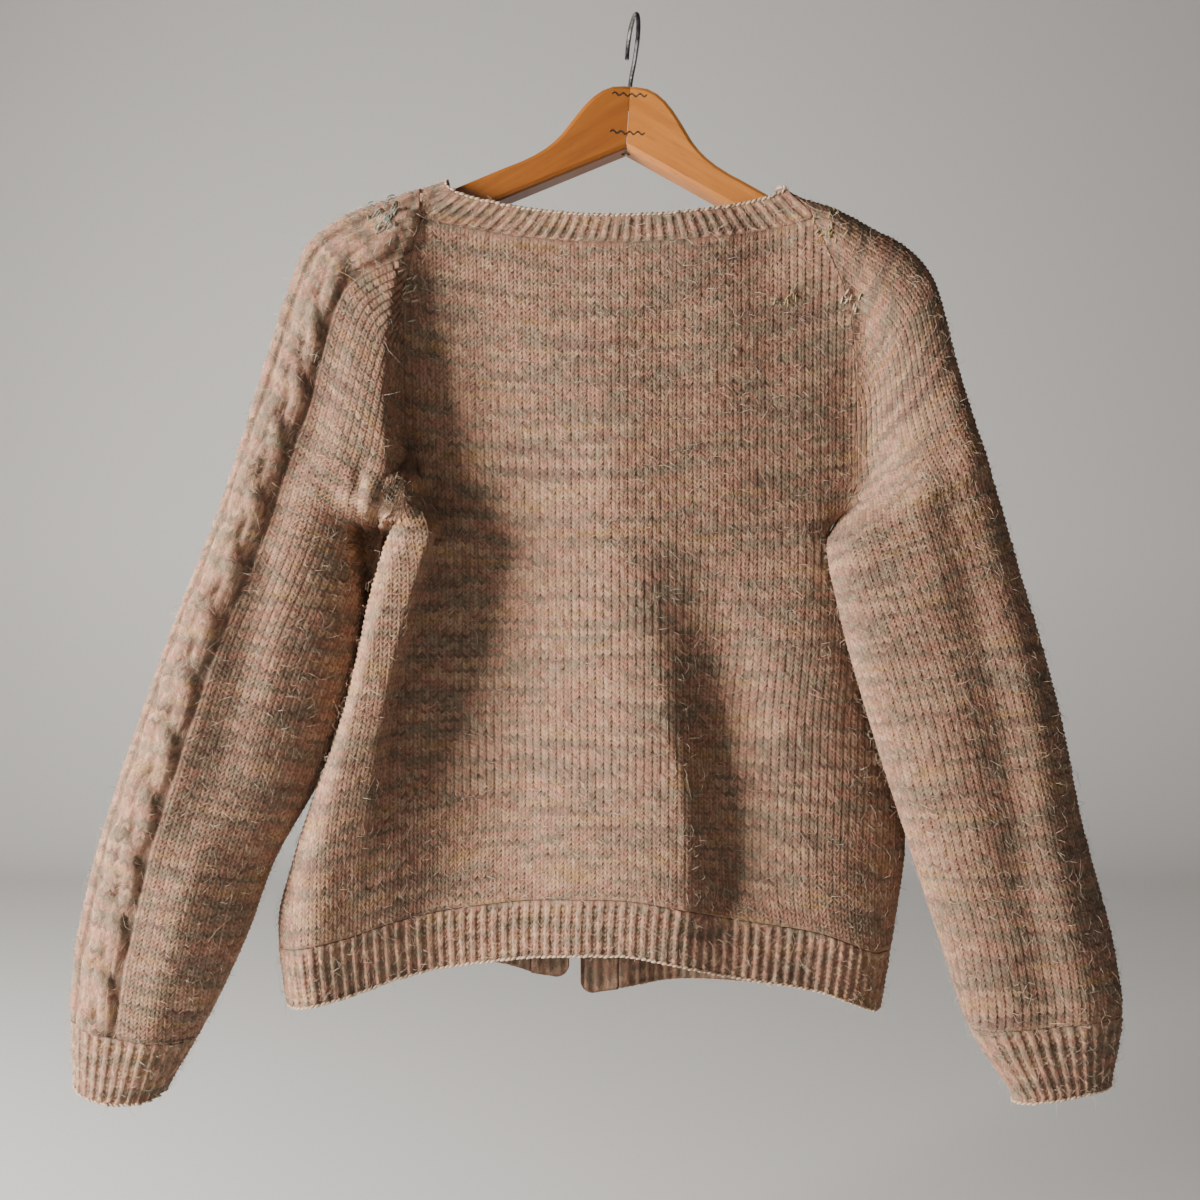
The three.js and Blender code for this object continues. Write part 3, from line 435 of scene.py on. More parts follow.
# Folds along a sleeve's back: [ring, place across (0 inner, 1 outer), half width, height].
LEFT_FOLDS = [
    [[3, 0.45, 0.12, 0], [5, 0.6, 0.14, -5], [8, 0.64, 0.14, -7], [10, 0.5, 0.14, -3],
     [11, 0.5, 0.14, 0]],
    [[10, 0.4, 0.16, 0], [11, 0.36, 0.16, 4], [13, 0.3, 0.16, 3], [14, 0.3, 0.16, 0]],
]
RIGHT_FOLDS = [
    [[4, 0.6, 0.14, 0], [7, 0.72, 0.12, -3], [10, 0.66, 0.13, -4], [12, 0.5, 0.13, -3],
     [14, 0.45, 0.13, 0]],
    [[9, 0.9, 0.12, 0], [10, 0.85, 0.12, 2], [12, 0.75, 0.12, 2], [14, 0.7, 0.12, 0]],
]


class Sleeve:
    """place counts rings down the arm; turn runs 0 to 2 from the inner seam over the back."""

    def __init__(self, rings, seam, folds, droop, dip_width):
        self.rings = np.array(rings, dtype=float)
        self.seam = seam
        self.folds = folds
        self.droop = droop
        self.dip_width = dip_width  # how much of the sleeve slopes down to the raglan seam

    def ring(self, place):
        keys = np.arange(len(self.rings))
        return [smooth_through(keys, self.rings[:, k], place) for k in range(6)]

    def fold_height(self, place, across):
        height = np.zeros_like(place)
        for fold in self.folds:
            table = np.array(fold, dtype=float)
            middle, width, size = [smooth_through(table[:, 0], table[:, k], place) for k in (1, 2, 3)]
            inside = (place >= table[0, 0]) & (place <= table[-1, 0])
            height += np.where(inside, size * bump(across, middle, width), 0)
        return height * np.sin(np.pi * across)

    def point(self, place, turn):
        back_side = turn <= 1
        half = np.where(back_side, turn, 2 - turn)
        across = (1 - np.cos(half * np.pi)) / 2
        ox, oz, outer_out, iz, back, front = self.ring(place)
        ix, inner_back, inner_front = at_level(self.seam, iz)
        seam_out = np.where(back_side, inner_back, -inner_front)
        crest = np.where(back_side, back, front)
        bow = np.power(np.clip(1 - np.abs(1 - 2 * across) ** 2.4, 0, 1), 1 / 2.4)
        tube = lerp(seam_out, outer_out, across) + (crest - lerp(seam_out, outer_out, 0.5)) * bow
        shoulder = np.power(np.clip(1 - across**3, 0, 1), 1 / 3)
        dip = (crest - seam_out) * bump(across, 0, self.dip_width)
        cap = lerp(outer_out, crest, shoulder) - dip
        near_seam = ease(6.2, 7.3, place)
        away_from_seam = ease(3.0, 9.5, place)
        closed = lerp(near_seam, away_from_seam, ease(0.12, 0.42, across))
        out = lerp(cap, tube, closed)
        out = out + np.where(back_side, self.fold_height(place, across), 0)
        sag = np.where(back_side, self.droop * bow * ease(CUFF_RING - 1, CUFF_RING + 1, place), 0)
        x = lerp(ix, ox, across)
        z = lerp(iz, oz, across) - sag
        out = out + slack(x, z) * ease(0, 0.3, across) * np.where(back_side, 1, -1)
        return np.stack([x, -out, z], -1)


SLEEVE_LEFT = Sleeve(LEFT_RINGS, LEFT_UNDERARM, LEFT_FOLDS, 10, 0.06)
SLEEVE_RIGHT = Sleeve(RIGHT_RINGS, RIGHT_UNDERARM, RIGHT_FOLDS, -1, 0.45)


# ---------------------------------------------------------------- knitted relief
# Heights over the fabric in millimetres, by mesh column and row within one stitch.

STOCKING_STITCH = np.array([[-0.7, 0.55, -0.45, 0.55], [-0.9, -0.35, -0.8, -0.35]])
SINGLE_RIB = np.array([
    [-0.5, 0.75, 0.35, 0.75, -0.5, -1.3, -1.4, -1.3],
    [-0.8, -0.3, -0.6, -0.3, -0.8, -0.9, -0.3, -0.9],
])
RIB_WALE = 3.8  # ribbing pulls its stitches closer together
V_DROP = np.array([0.0, 0.4, 0.8, 0.4])  # how far a stitch's legs slope down, in courses


def stitch_relief(pattern, column, row):
    return pattern[row % STEPS_UP, column % pattern.shape[1]]


PLAIT_HALF_WIDTH = 15.5
PLAIT_PERIOD = 38 * COURSE
LEFT_CABLE_OFFSET = -36.0  # from the sleeve's outer edge; minus is towards the back
RIGHT_CABLE_OFFSET = 22.0
STRANDS = 3
STRAND_SWING = 8.6  # from side to side of the plait's middle
STRAND_HALF_WIDTH = 7.0
STRAND_HEIGHT = 3.0
STRAND_SINK = 1.4  # how far a strand's edges lie under the fabric
CROSSING_LIFT = 1.1
GROOVE_DEPTH = 2.2
NO_STRAND = -9.0


def plait_relief(across, along):
    """Three strands that cross over each other in turn, with a purled groove on each side."""
    top = np.full_like(across, NO_STRAND)
    for strand in range(STRANDS):
        angle = 2 * np.pi * (along / PLAIT_PERIOD + strand / STRANDS)
        lift = CROSSING_LIFT * np.sin(2 * angle)
        from_middle = (across - STRAND_SWING * np.sin(angle)) / STRAND_HALF_WIDTH
        round_top = np.sqrt(np.clip(1 - from_middle**2, 0, 1))
        height = lift + STRAND_HEIGHT * round_top - STRAND_SINK
        top = np.maximum(top, np.where(np.abs(from_middle) < 1, height, NO_STRAND))
    inside = 1 - ease(PLAIT_HALF_WIDTH - 1.5, PLAIT_HALF_WIDTH + 0.5, np.abs(across))
    groove = -GROOVE_DEPTH * bump(np.abs(across), PLAIT_HALF_WIDTH + 1.6, 2.0)
    return np.maximum(top, -1.5) * inside + groove


# ---------------------------------------------------------------- knitting a sheet

SEAM_FADE = 6.0  # the relief dies away over this much next to a seam
INNER_STEP = 4  # the plain inside has one face for this many columns and rows
RIBBED_INNER_STEP = 2  # and the ribbed inside one for this many
PAINTED_SEAM_SHADE = 0.4  # painted shade that darkens the cloth at a seam between sleeve and body
PAINTED_JOINT_SHADE = 0.75  # and painted shade at the end of a piece, where another is sewn on
PAINTED_INSIDE_SHADE = 0.3  # and painted shade all over the inside
CLOSED_GAP = 0.4  # seam edges nearer than this are sewn into a tube
NARROWEST = 0.35  # a column narrower than this share of its spacing joins the seam
FLATTEST = 0.15  # and the least that relief shrinks to where columns crowd


def arc_lengths(points):
    """How far along its row each point lies."""
    steps = np.linalg.norm(np.diff(points, axis=1), axis=2)
    return np.concatenate([np.zeros((len(points), 1)), np.cumsum(steps, axis=1)], axis=1)


class Wales:
    """A grid over a surface whose columns keep an even distance, like the wales of knitting."""

    def __init__(self, point_at, keys, span, origin, wale=WALE, samples=240, warp=None):
        # keys run down the cloth, span is (first, last) place and origin the place of wale 0;
        # ribbing keeps its count of stitches from row to row, so its wales spread or close up
        pitch = wale / STEPS_ACROSS
        self.wale = wale
        ribbed = wale == RIB_WALE
        rows = len(keys)
        places = np.linspace(span[0], span[1], samples)
        dense = point_at(np.repeat(keys, samples), np.tile(places, rows)).reshape(rows, samples, 3)
        lengths = arc_lengths(dense)
        start = np.array([np.interp(origin_at, places, row) for origin_at, row in zip(origin, lengths)])
        total = lengths[:, -1]
        if ribbed:
            stretch = total.mean() / total
            lengths = lengths * stretch[:, None]
            start = start * stretch
            start[:] = start.mean()
            total = lengths[:, -1]
        first = int(np.floor(-start.max() / pitch))
        last = int(np.ceil((total - start).max() / pitch))
        first -= first % (2 * STEPS_ACROSS)
        columns = np.arange(first, last + 1)
        along = columns[None, :] * pitch + start[:, None]
        sliver = NARROWEST * pitch
        self.low = np.maximum((along <= sliver).sum(1) - 1, 0)
        past_end = (along >= total[:, None] - sliver).sum(1)
        self.high = np.minimum(len(columns) - past_end, len(columns) - 1)
        grid_row = np.arange(rows)
        along = np.clip(along, 0, total[:, None])
        along[grid_row, self.low] = 0
        along[grid_row, self.high] = total
        place = np.stack([np.interp(s, row, places) for s, row in zip(along, lengths)])
        self.columns = columns
        self.from_seam = np.minimum(along, total[:, None] - along)
        self.across = along - start[:, None]
        fade = ease(0, SEAM_FADE, self.from_seam)
        from_end = np.minimum(grid_row, rows - 1 - grid_row)[:, None]
        drop = V_DROP[columns % STEPS_ACROSS][None, :] * STEPS_UP * fade * ease(0, 4, from_end)
        key = np.interp(np.clip(grid_row[:, None] + drop, 0, rows - 1), grid_row, keys)
        points = point_at(key.ravel(), place.ravel())
        if warp:
            points = warp(points)
        self.points = points.reshape(rows, len(columns), 3)
        gaps = np.linalg.norm(np.diff(self.points, axis=1), axis=2)
        gaps = np.concatenate([gaps[:, :1], gaps], axis=1)
        self.room = np.clip(gaps / pitch, FLATTEST, 1)  # crowded stitches stand up less
        self.longest = total.max()
        ends = np.linalg.norm(self.points[grid_row, self.low] - self.points[grid_row, self.high], axis=1)
        self.closed = ends < CLOSED_GAP

    def clamp(self, row, column):
        """The column that a grid corner really uses; beyond a seam all share the seam's corner."""
        column = np.clip(column, self.low[row], self.high[row])
        return np.where(self.closed[row] & (column == self.high[row]), self.low[row], column)


def face_lists(wales, row_set, column_set, base):
    """Quads and triangles over a grid, with corners past a seam merged into it."""
    row, column = np.meshgrid(np.arange(len(row_set) - 1), np.arange(len(column_set) - 1), indexing="ij")
    corners, spots = [], []
    for down, right in ((0, 0), (0, 1), (1, 1), (1, 0)):
        r = row_set[row + down].ravel()
        c = column_set[column + right].ravel()
        corners.append(base + r * len(wales.columns) + wales.clamp(r, c))
        c = np.clip(c, wales.low[r], wales.high[r])
        spots.append(np.stack([wales.across[r, c] / wales.wale, r / STEPS_UP], -1))
    corners = np.stack(corners, -1)
    spots = np.stack(spots, 1)
    flat_top = corners[:, 0] == corners[:, 1]
    flat_foot = corners[:, 2] == corners[:, 3]
    faces = []
    for keep, picked in (
        (~flat_top & ~flat_foot, [0, 1, 2, 3]),
        (flat_top & ~flat_foot, [0, 2, 3]),
        (~flat_top & flat_foot, [0, 1, 2]),
    ):
        faces.append((corners[keep][:, picked], spots[keep][:, picked]))
    return faces


def without_repeats(path):
    return [corner for k, corner in enumerate(path) if k == 0 or corner != path[k - 1]]


def rim_faces(wales, row_set, column_set, inner_base):
    """Strips that close the cloth's thickness round its edges, one face for each inner step."""
    width = len(wales.columns)
    rows = len(wales.low)

    def corner(row, column, base=0):
        return int(base + row * width + wales.clamp(np.array([row]), np.array([column]))[0])

    rims = []
    for row, backwards in ((0, True), (rows - 1, False)):
        for c0, c1 in zip(column_set[:-1], column_set[1:]):
            path = without_repeats([corner(row, c) for c in range(c0, c1 + 1)])
            if len(path) < 2:
                continue
            inside = [corner(row, c1, inner_base), corner(row, c0, inner_base)]
            if inside[0] != inside[1]:
                rims.append((path + inside)[::-1 if backwards else 1])
    for side, backwards in ((wales.low, False), (wales.high, True)):
        for r0, r1 in zip(row_set[:-1], row_set[1:]):
            if wales.closed[r0] and wales.closed[r1]:
                continue
            path = [corner(r, side[r]) for r in range(r0, r1 + 1)]
            inside = [corner(r1, side[r1], inner_base), corner(r0, side[r0], inner_base)]
            rims.append((path + inside)[::-1 if backwards else 1])
    return rims


def fill_mesh(mesh, points, groups):
    """Loads points and faces into a mesh. Each group is (corners, spots): n faces of one size."""
    points = np.asarray(points)
    mesh.vertices.add(len(points))
    mesh.vertices.foreach_set("co", (points * MM).astype(np.float32).ravel())
    corners = np.concatenate([np.asarray(group[0]).ravel() for group in groups])
    sizes = np.concatenate([np.full(len(group[0]), np.shape(group[0])[1]) for group in groups])
    mesh.loops.add(len(corners))
    mesh.loops.foreach_set("vertex_index", corners.astype(np.int32))
    mesh.polygons.add(len(sizes))
    mesh.polygons.foreach_set("loop_start", (np.cumsum(sizes) - sizes).astype(np.int32))
    spots = np.concatenate([np.asarray(group[1]).reshape(-1, 2) for group in groups])
    uv = mesh.uv_layers.new(name="stitches")
    uv.data.foreach_set("uv", spots.astype(np.float32).ravel())
    mesh.update(calc_edges=True)
    mesh.shade_smooth()
    mesh.polygons.foreach_set("use_smooth", sizes <= 4)  # the many-sided rim strips stay flat


def add_piece(name, mesh, material, nodes=()):
    piece = bpy.data.objects.new(name, mesh)
    scene.collection.objects.link(piece)
    mesh.materials.append(material)
    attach(piece, "root")
    if nodes:
        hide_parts(*nodes)
    return piece


def used_corners(count, groups):
    used = np.zeros(count, dtype=bool)
    for corners, _ in groups:
        used[np.asarray(corners).ravel()] = True
    return used


def turned_over(groups):
    return [(np.asarray(corners)[:, ::-1], np.asarray(spots)[:, ::-1]) for corners, spots in groups]


def drop_unused(points, values, groups):
    """Keeps only the corners that some face uses."""
    used = used_corners(len(points), groups)
    number = np.cumsum(used) - 1
    return points[used], values[used], [(number[np.asarray(corners)], spots) for corners, spots in groups]


def surface_normals(points, groups):
    bare = bpy.data.meshes.new("bare")
    fill_mesh(bare, points, groups)
    normals = np.empty(len(points) * 3, dtype=np.float32)
    bare.vertex_normals.foreach_get("vector", normals)
    bpy.data.meshes.remove(bare)
    return normals.reshape(-1, 3).astype(float)


dice = np.random.default_rng(11)
skins = []  # points and normals over all the knitting
edges = {}  # the first and last row of each piece


def knit(node_name, wales, relief, flip, rib_depth=0.0):
    """A closed sheet of knitting that stands for a node: stitches outside, and a plain face
    inside, or a ribbed one where rib_depth is not 0.

    relief(wales) gives the height and the painted shade of the hollows, 0 to 1, at every corner of the
    grid.
    """
    name = f"knitted_{node_name}"
    ribbed = rib_depth > 0
    rows, width = wales.points.shape[:2]
    all_rows, all_columns = np.arange(rows), np.arange(width)
    step = RIBBED_INNER_STEP if ribbed else INNER_STEP
    row_set = np.unique(np.append(all_rows[::step], rows - 1))
    column_set = np.unique(np.append(all_columns[::step], width - 1))
    outside = face_lists(wales, all_rows, all_columns, 0)
    turned = turned_over(outside) if flip else outside
    flat_points = wales.points.reshape(-1, 3)
    points, _, bare_groups = drop_unused(flat_points, flat_points[:, 0], turned)
    normals = np.zeros_like(flat_points)
    used = used_corners(len(flat_points), turned)
    normals[used] = surface_normals(points, bare_groups)
    height, painted_shade = relief(wales)
    outer = flat_points + normals * height.reshape(-1, 1)
    inner_height = np.zeros_like(height)
    if ribbed:
        inner_height = np.roll(height, STEPS_ACROSS, axis=1) * ease(0, 3, wales.from_seam)
    edges[node_name] = outer.reshape(rows, width, 3)[[0, -1]]
    inner = flat_points - normals * (FABRIC + inner_height.reshape(-1, 1))
    inner_base = len(flat_points)
    inside = face_lists(wales, row_set, column_set, inner_base)
    groups = list(outside) + turned_over(inside)
    for rim in rim_faces(wales, row_set, column_set, inner_base):
        groups.append((np.array([rim]), np.zeros((1, len(rim), 2))))
    if flip:
        groups = turned_over(groups)
    points = np.concatenate([outer, inner])
    # painted shade per corner: the stitch hollows outside, an even painted shade inside, and the rib
    # hollows on a ribbed inside
    painted_shade_values = np.concatenate([painted_shade.ravel(), painted_shade.ravel() * ribbed + PAINTED_INSIDE_SHADE])
    points, painted_shade_values, groups = drop_unused(points, painted_shade_values, groups)
    mesh = bpy.data.meshes.new(name)
    fill_mesh(mesh, points, groups)
    # the painted shade goes to the wool material as the point attribute it reads
    attribute = mesh.attributes.new("painted_shade", "FLOAT", "POINT")
    attribute.data.foreach_set("value", painted_shade_values.astype(np.float32))
    if ribbed:
        piece = add_piece(name, mesh, RIB_WOOL, [node_name])
    else:
        piece = add_piece(name, mesh, WOOL, [node_name])
    on_cloth = used & (wales.from_seam.ravel() > 1)
    skins.append((outer[on_cloth], normals[on_cloth]))
    declare_sheet(wales)


def stitch_unevenness(wales, amount):
    rows, width = wales.points.shape[:2]
    each = dice.normal(0, amount, (rows // STEPS_UP + 2, width // STEPS_ACROSS + 2))
    return each[np.arange(rows)[:, None] // STEPS_UP, np.arange(width)[None, :] // STEPS_ACROSS]


def patterned(pattern, low, high):
    """Relief that repeats a stitch pattern, with shallow seams; low and high grade the painted shade in
    the hollows.
    """

    def relief(wales):
        rows = np.arange(len(wales.low))[:, None]
        height = stitch_relief(pattern, wales.columns[None, :], rows)
        # painted shade: the deeper a corner lies in the stitch, the darker the wool is painted
        painted_shade = np.clip((high - height) / (high - low), 0, 1)
        fade = ease(0, SEAM_FADE, wales.from_seam) * wales.room
        height = height + stitch_unevenness(wales, 0.18)
        fade = fade * lerp(0.5, 1, ease(-0.5, 1.5, np.minimum(rows, len(wales.low) - 1 - rows)))
        sewn = ease(2.5, 0, np.minimum(rows, len(wales.low) - 1 - rows))
        # painted shade also at seams, where the relief fades, and along the sewn ends
        return height * fade, np.maximum(lerp(PAINTED_SEAM_SHADE, painted_shade, fade), PAINTED_JOINT_SHADE * sewn)

    return relief


stocking = patterned(STOCKING_STITCH, -1.0, 0.55)
ribbing = patterned(SINGLE_RIB, -2.0, 0.6)


FULL_RIB = 1.0
NECK_RIB = 0.6  # the neckband's ribs are stretched shallower by their curve


def shallow_ribbing(wales):
    height, painted_shade = ribbing(wales)
    return NECK_RIB * height, painted_shade


def cabled(wales):
    """Stocking stitch with the cable that runs down the outside of a sleeve."""
    height, painted_shade = stocking(wales)
    across = wales.across - wales.cable_offset
    along = np.arange(len(wales.low))[:, None] * COURSE / STEPS_UP + 0 * across
    cable = plait_relief(across, along)
    within = 1 - ease(PLAIT_HALF_WIDTH + 3.0, PLAIT_HALF_WIDTH + 5.5, np.abs(across))
    rough = height * 0.45
    fade = ease(0, SEAM_FADE, wales.from_seam)
    # painted shade in the cable: darker where the strands sink and in the grooves beside them
    cable_painted_shade = np.clip((1.2 - cable) / 3.4, 0, 1)
    return (
        lerp(height, cable + rough, within * fade),
        lerp(painted_shade, np.maximum(cable_painted_shade, painted_shade * 0.6), within * fade),
    )


# ---------------------------------------------------------------- finishes

class Nodes:
    """Short words for wiring up a material. A value may be a number or another node's output."""

    def __init__(self, name):
        self.material = bpy.data.materials.new(name)
        self.material.use_nodes = True
        self.tree = self.material.node_tree
        self.shader = self.tree.nodes["Principled BSDF"]

    def new(self, kind, **settings):
        node = self.tree.nodes.new(kind)
        for key, value in settings.items():
            setattr(node, key, value)
        return node

    def feed(self, socket, value):
        if hasattr(value, "is_output"):
            self.tree.links.new(value, socket)
        else:
            socket.default_value = value

    def fed(self, kind, *values, **settings):
        node = self.new(kind, **settings)
        for socket, value in zip(node.inputs, values):
            self.feed(socket, value)
        return node.outputs

    def math(self, operation, a, b=0.0, c=0.0):
        return self.fed("ShaderNodeMath", a, b, c, operation=operation)[0]

    def join(self, x, y, z=0.0):
        return self.fed("ShaderNodeCombineXYZ", x, y, z)[0]

    def split(self, vector):
        return self.fed("ShaderNodeSeparateXYZ", vector)

    def noise(self, vector, scale, detail=2.0, roughness=0.5):
        node = self.new("ShaderNodeTexNoise")
        self.feed(node.inputs["Vector"], vector)
        node.inputs["Scale"].default_value = scale
        node.inputs["Detail"].default_value = detail
        node.inputs["Roughness"].default_value = roughness
        return node.outputs["Fac"]

    def speckle(self, vector):
        return self.fed("ShaderNodeTexWhiteNoise", vector)["Value"]

    def ramp(self, value, stops, interpolation="LINEAR"):
        node = self.new("ShaderNodeValToRGB")
        node.color_ramp.interpolation = interpolation
        elements = node.color_ramp.elements
        while len(elements) < len(stops):
            elements.new(0.5)
        for element, (place, colour) in zip(elements, stops):
            element.position = place
            element.color = (*colour, 1)
        self.feed(node.inputs[0], value)
        return node.outputs[0]

    def mix(self, factor, a, b, blend="MIX"):
        node = self.new("ShaderNodeMix", data_type="RGBA", blend_type=blend)
        self.feed(node.inputs[0], factor)
        self.feed(node.inputs[6], a)
        self.feed(node.inputs[7], b)
        return node.outputs[2]

    def times(self, a, b):
        return self.math("MULTIPLY", a, b)

    def plus(self, a, b):
        return self.math("ADD", a, b)

    def set(self, **values):
        """Even values, straight on the shader: Sheen_Weight is its socket Sheen Weight."""
        for key, value in values.items():
            self.shader.inputs[key.replace("_", " ")].default_value = value

    def wire(self, **values):
        """The same for values that come out of other nodes."""
        for key, value in values.items():
            self.feed(self.shader.inputs[key.replace("_", " ")], value)

    def bump(self, height, distance, strength=1.0):
        node = self.new("ShaderNodeBump")
        node.inputs["Distance"].default_value = distance
        node.inputs["Strength"].default_value = strength
        self.feed(node.inputs["Height"], height)
        return node.outputs[0]


DUSTY_ROSE = (0.50, 0.245, 0.172)
PALE_BEIGE = (0.55, 0.365, 0.24)
TAUPE = (0.27, 0.165, 0.122)
SAGE = (0.29, 0.245, 0.165)
OCHRE = (0.48, 0.29, 0.13)
MAUVE_BROWN = (0.22, 0.125, 0.11)
# the dark brown that painted shade in hollows, seams and the inside draws the wool towards
PAINTED_SHADE_BROWN = (0.075, 0.042, 0.03)
EVEN_BROWN = (0.36, 0.205, 0.135)
ALONG_ROW = 0.07  # how fast the dye changes along a row of stitches
ROW_TO_ROW = 0.42  # and from one row to the next
EVENNESS = 0.24  # how far every colour is drawn to the even brown
DARKEN = 0.8


def wool(name, brightness=1.0):
    """Space-dyed heather wool: colours run in short lengths along the rows of stitches."""
    n = Nodes(name)
    stitches = n.new("ShaderNodeUVMap", uv_map="stitches").outputs[0]
    place = n.new("ShaderNodeTexCoord").outputs["Object"]
    u, v, _ = n.split(stitches)
    row = n.math("FLOOR", v)
    shift = n.times(n.speckle(n.join(row, 3.0)), 1.8)
    dyed = n.join(n.times(n.plus(u, shift), ALONG_ROW), n.times(row, ROW_TO_ROW), 0.0)
    pool = n.plus(n.noise(dyed, 1.0, 3.0, 0.62), n.times(n.noise(place, 9.0, 2.0), 0.18))
    colour = n.ramp(n.math("SUBTRACT", pool, 0.09), [
        (0.22, MAUVE_BROWN), (0.36, TAUPE), (0.44, SAGE), (0.51, DUSTY_ROSE), (0.57, PALE_BEIGE),
        (0.64, OCHRE), (0.70, DUSTY_ROSE), (0.80, PALE_BEIGE),
    ])
    even_tone = n.mix(EVENNESS, colour, EVEN_BROWN + (1,))
    each = n.speckle(n.join(n.math("FLOOR", n.times(u, 2.0)), row))
    stitch_tone = n.math("MULTIPLY_ADD", each, 0.55, 0.74)
    lean = n.math("ABSOLUTE", n.math("SUBTRACT", n.math("FRACT", u), 0.5))
    leg = n.join(n.times(u, 2.0), n.plus(v, n.times(lean, 1.6)))
    fibres = n.noise(leg, 2.6, 3.0, 0.7)
    hairs = n.noise(place, 900.0, 3.0, 0.75)
    fibre_tone = n.math("MULTIPLY_ADD", n.plus(fibres, hairs), 1.5, -0.5)
    tone = n.times(n.times(stitch_tone, fibre_tone), DARKEN * brightness)
    toned = n.mix(1.0, even_tone, n.join(tone, tone, tone), "MULTIPLY")
    # painted shade: stitch hollows, seams, sewn ends and the inside are darkened towards the shade brown
    # by the attribute set on each corner
    painted_shade = n.new("ShaderNodeAttribute", attribute_name="painted_shade").outputs["Fac"]
    painted_shade_strength = n.times(n.math("POWER", painted_shade, 1.6), 0.62)
    n.wire(Base_Color=n.mix(painted_shade_strength, toned, PAINTED_SHADE_BROWN + (1,)))
    n.set(Roughness=0.92, Specular_IOR_Level=0.15)
    n.set(Sheen_Weight=0.16, Sheen_Roughness=0.5, Sheen_Tint=(0.9, 0.72, 0.58, 1))
    relief = n.plus(fibres, n.times(hairs, 0.6))
    n.wire(Normal=n.bump(relief, 0.0006))
    return n.material


def yarn(name, colour):
    """Plain darning or trimming yarn with a light twist."""
    n = Nodes(name)
    place = n.new("ShaderNodeTexCoord").outputs["Object"]
    tone = n.noise(place, 700.0, 3.0, 0.7)
    darker = tuple(0.55 * part for part in colour)
    n.wire(Base_Color=n.ramp(tone, [(0.3, darker), (0.7, colour)]))
    n.set(Roughness=0.9, Sheen_Weight=0.3)
    n.wire(Normal=n.bump(tone, 0.0005))
    return n.material


def beech(name, pale, dark):
    """Varnished beech: long grain along the arm, short dark flecks and handling marks."""
    n = Nodes(name)
    place = n.new("ShaderNodeTexCoord").outputs["Object"]
    x, y, z = n.split(place)
    slope = n.plus(z, n.times(n.math("ABSOLUTE", x), 0.62))
    long_grain = n.join(n.times(x, 14.0), n.times(y, 60.0), n.times(slope, 150.0))
    grain = n.noise(long_grain, 1.0, 4.0, 0.6)
    short_grain = n.join(n.times(x, 120.0), n.times(y, 500.0), n.times(slope, 900.0))
    flecks = n.noise(short_grain, 1.0, 2.0, 0.5)
    between = tuple((a + b) / 2 for a, b in zip(pale, dark))
    colour = n.ramp(grain, [(0.30, dark), (0.55, between), (0.75, pale)])
    fleck_strength = n.ramp(flecks, [(0.62, (0, 0, 0)), (0.70, (1, 1, 1))])
    n.wire(Base_Color=n.mix(n.times(fleck_strength, 0.5), colour, (0.16, 0.07, 0.02, 1)))
    wear = n.noise(place, 40.0, 3.0)
    n.wire(Roughness=n.math("MULTIPLY_ADD", wear, 0.25, 0.25))
    n.set(Coat_Weight=0.15, Coat_Roughness=0.25)
    n.wire(Normal=n.bump(grain, 0.0003, 0.6))
    return n.material


def steel(name, colour, roughness):
    """Wire or nail steel, dulled and finely scratched."""
    n = Nodes(name)
    place = n.new("ShaderNodeTexCoord").outputs["Object"]
    dull = n.noise(place, 260.0, 4.0, 0.65)
    shade = tuple(0.5 * part for part in colour)
    n.wire(Base_Color=n.ramp(dull, [(0.35, shade), (0.65, colour)]))
    n.wire(Roughness=n.math("MULTIPLY_ADD", dull, 0.3, roughness - 0.15))
    n.set(Metallic=1.0)
    n.wire(Normal=n.bump(dull, 0.0001))
    return n.material


WOOL = wool("heather_wool")
RIB_WOOL = wool("heather_wool_ribbed", 1.06)


# ---------------------------------------------------------------- back, fronts and hems

PANEL_ROWS = np.arange(NECK_LEVEL, HEM_LEVEL + RIB_HEIGHT - 0.01, -COURSE / STEPS_UP)
RIB_ROWS = np.arange(HEM_LEVEL + RIB_HEIGHT, HEM_LEVEL - 0.01, -COURSE / STEPS_UP)


def place_of_x(panel, keys, x):
    """Where on the panel's rows the cloth passes over x."""
    last = len(panel.lines) - 1
    places = np.linspace(0.2, last - 0.2, 120)
    found = []
    for key in keys:
        points = panel.point(np.full(len(places), key), places)
        found.append(np.interp(x, points[:, 0], places))
    return found


def knit_panel(name, panel, middle_x, flip):
    last = len(panel.lines) - 1
    for part, keys, relief, wale, rib_depth in (
        ("panel", PANEL_ROWS, stocking, WALE, 0.0),
        ("hem_rib", RIB_ROWS, ribbing, RIB_WALE, FULL_RIB),
    ):
        wales = Wales(panel.point, keys, (0, last), place_of_x(panel, keys, middle_x), wale,
                      warp=underarm if panel is BACK else None)
        knit(f"{name}_{part}", wales, relief, flip, rib_depth)


def declare_sheet(wales):
    """Measures the longest column of the cloth before its stitches stand up; the length is not used."""
    length = arc_lengths(wales.points.transpose(1, 0, 2))[:, -1].max() * MM


knit_panel("back", BACK, -11.0, True)
knit_panel("front_left", FRONT_LEFT, -100.0, False)
knit_panel("front_right", FRONT_RIGHT, 20.0, False)


# ---------------------------------------------------------------- bands down the open front

def band_surface(seam_line, seam_x, edge_x):
    def point(down, place):
        x = lerp(seam_x, edge_x, place)
        z = lerp(front_neck(x) - 0.3, HEM_LEVEL + front_hem(x), down)
        out = at_level(seam_line, z)[1] - 2 * place**2
        return np.stack([x, out, z], -1)

    return point


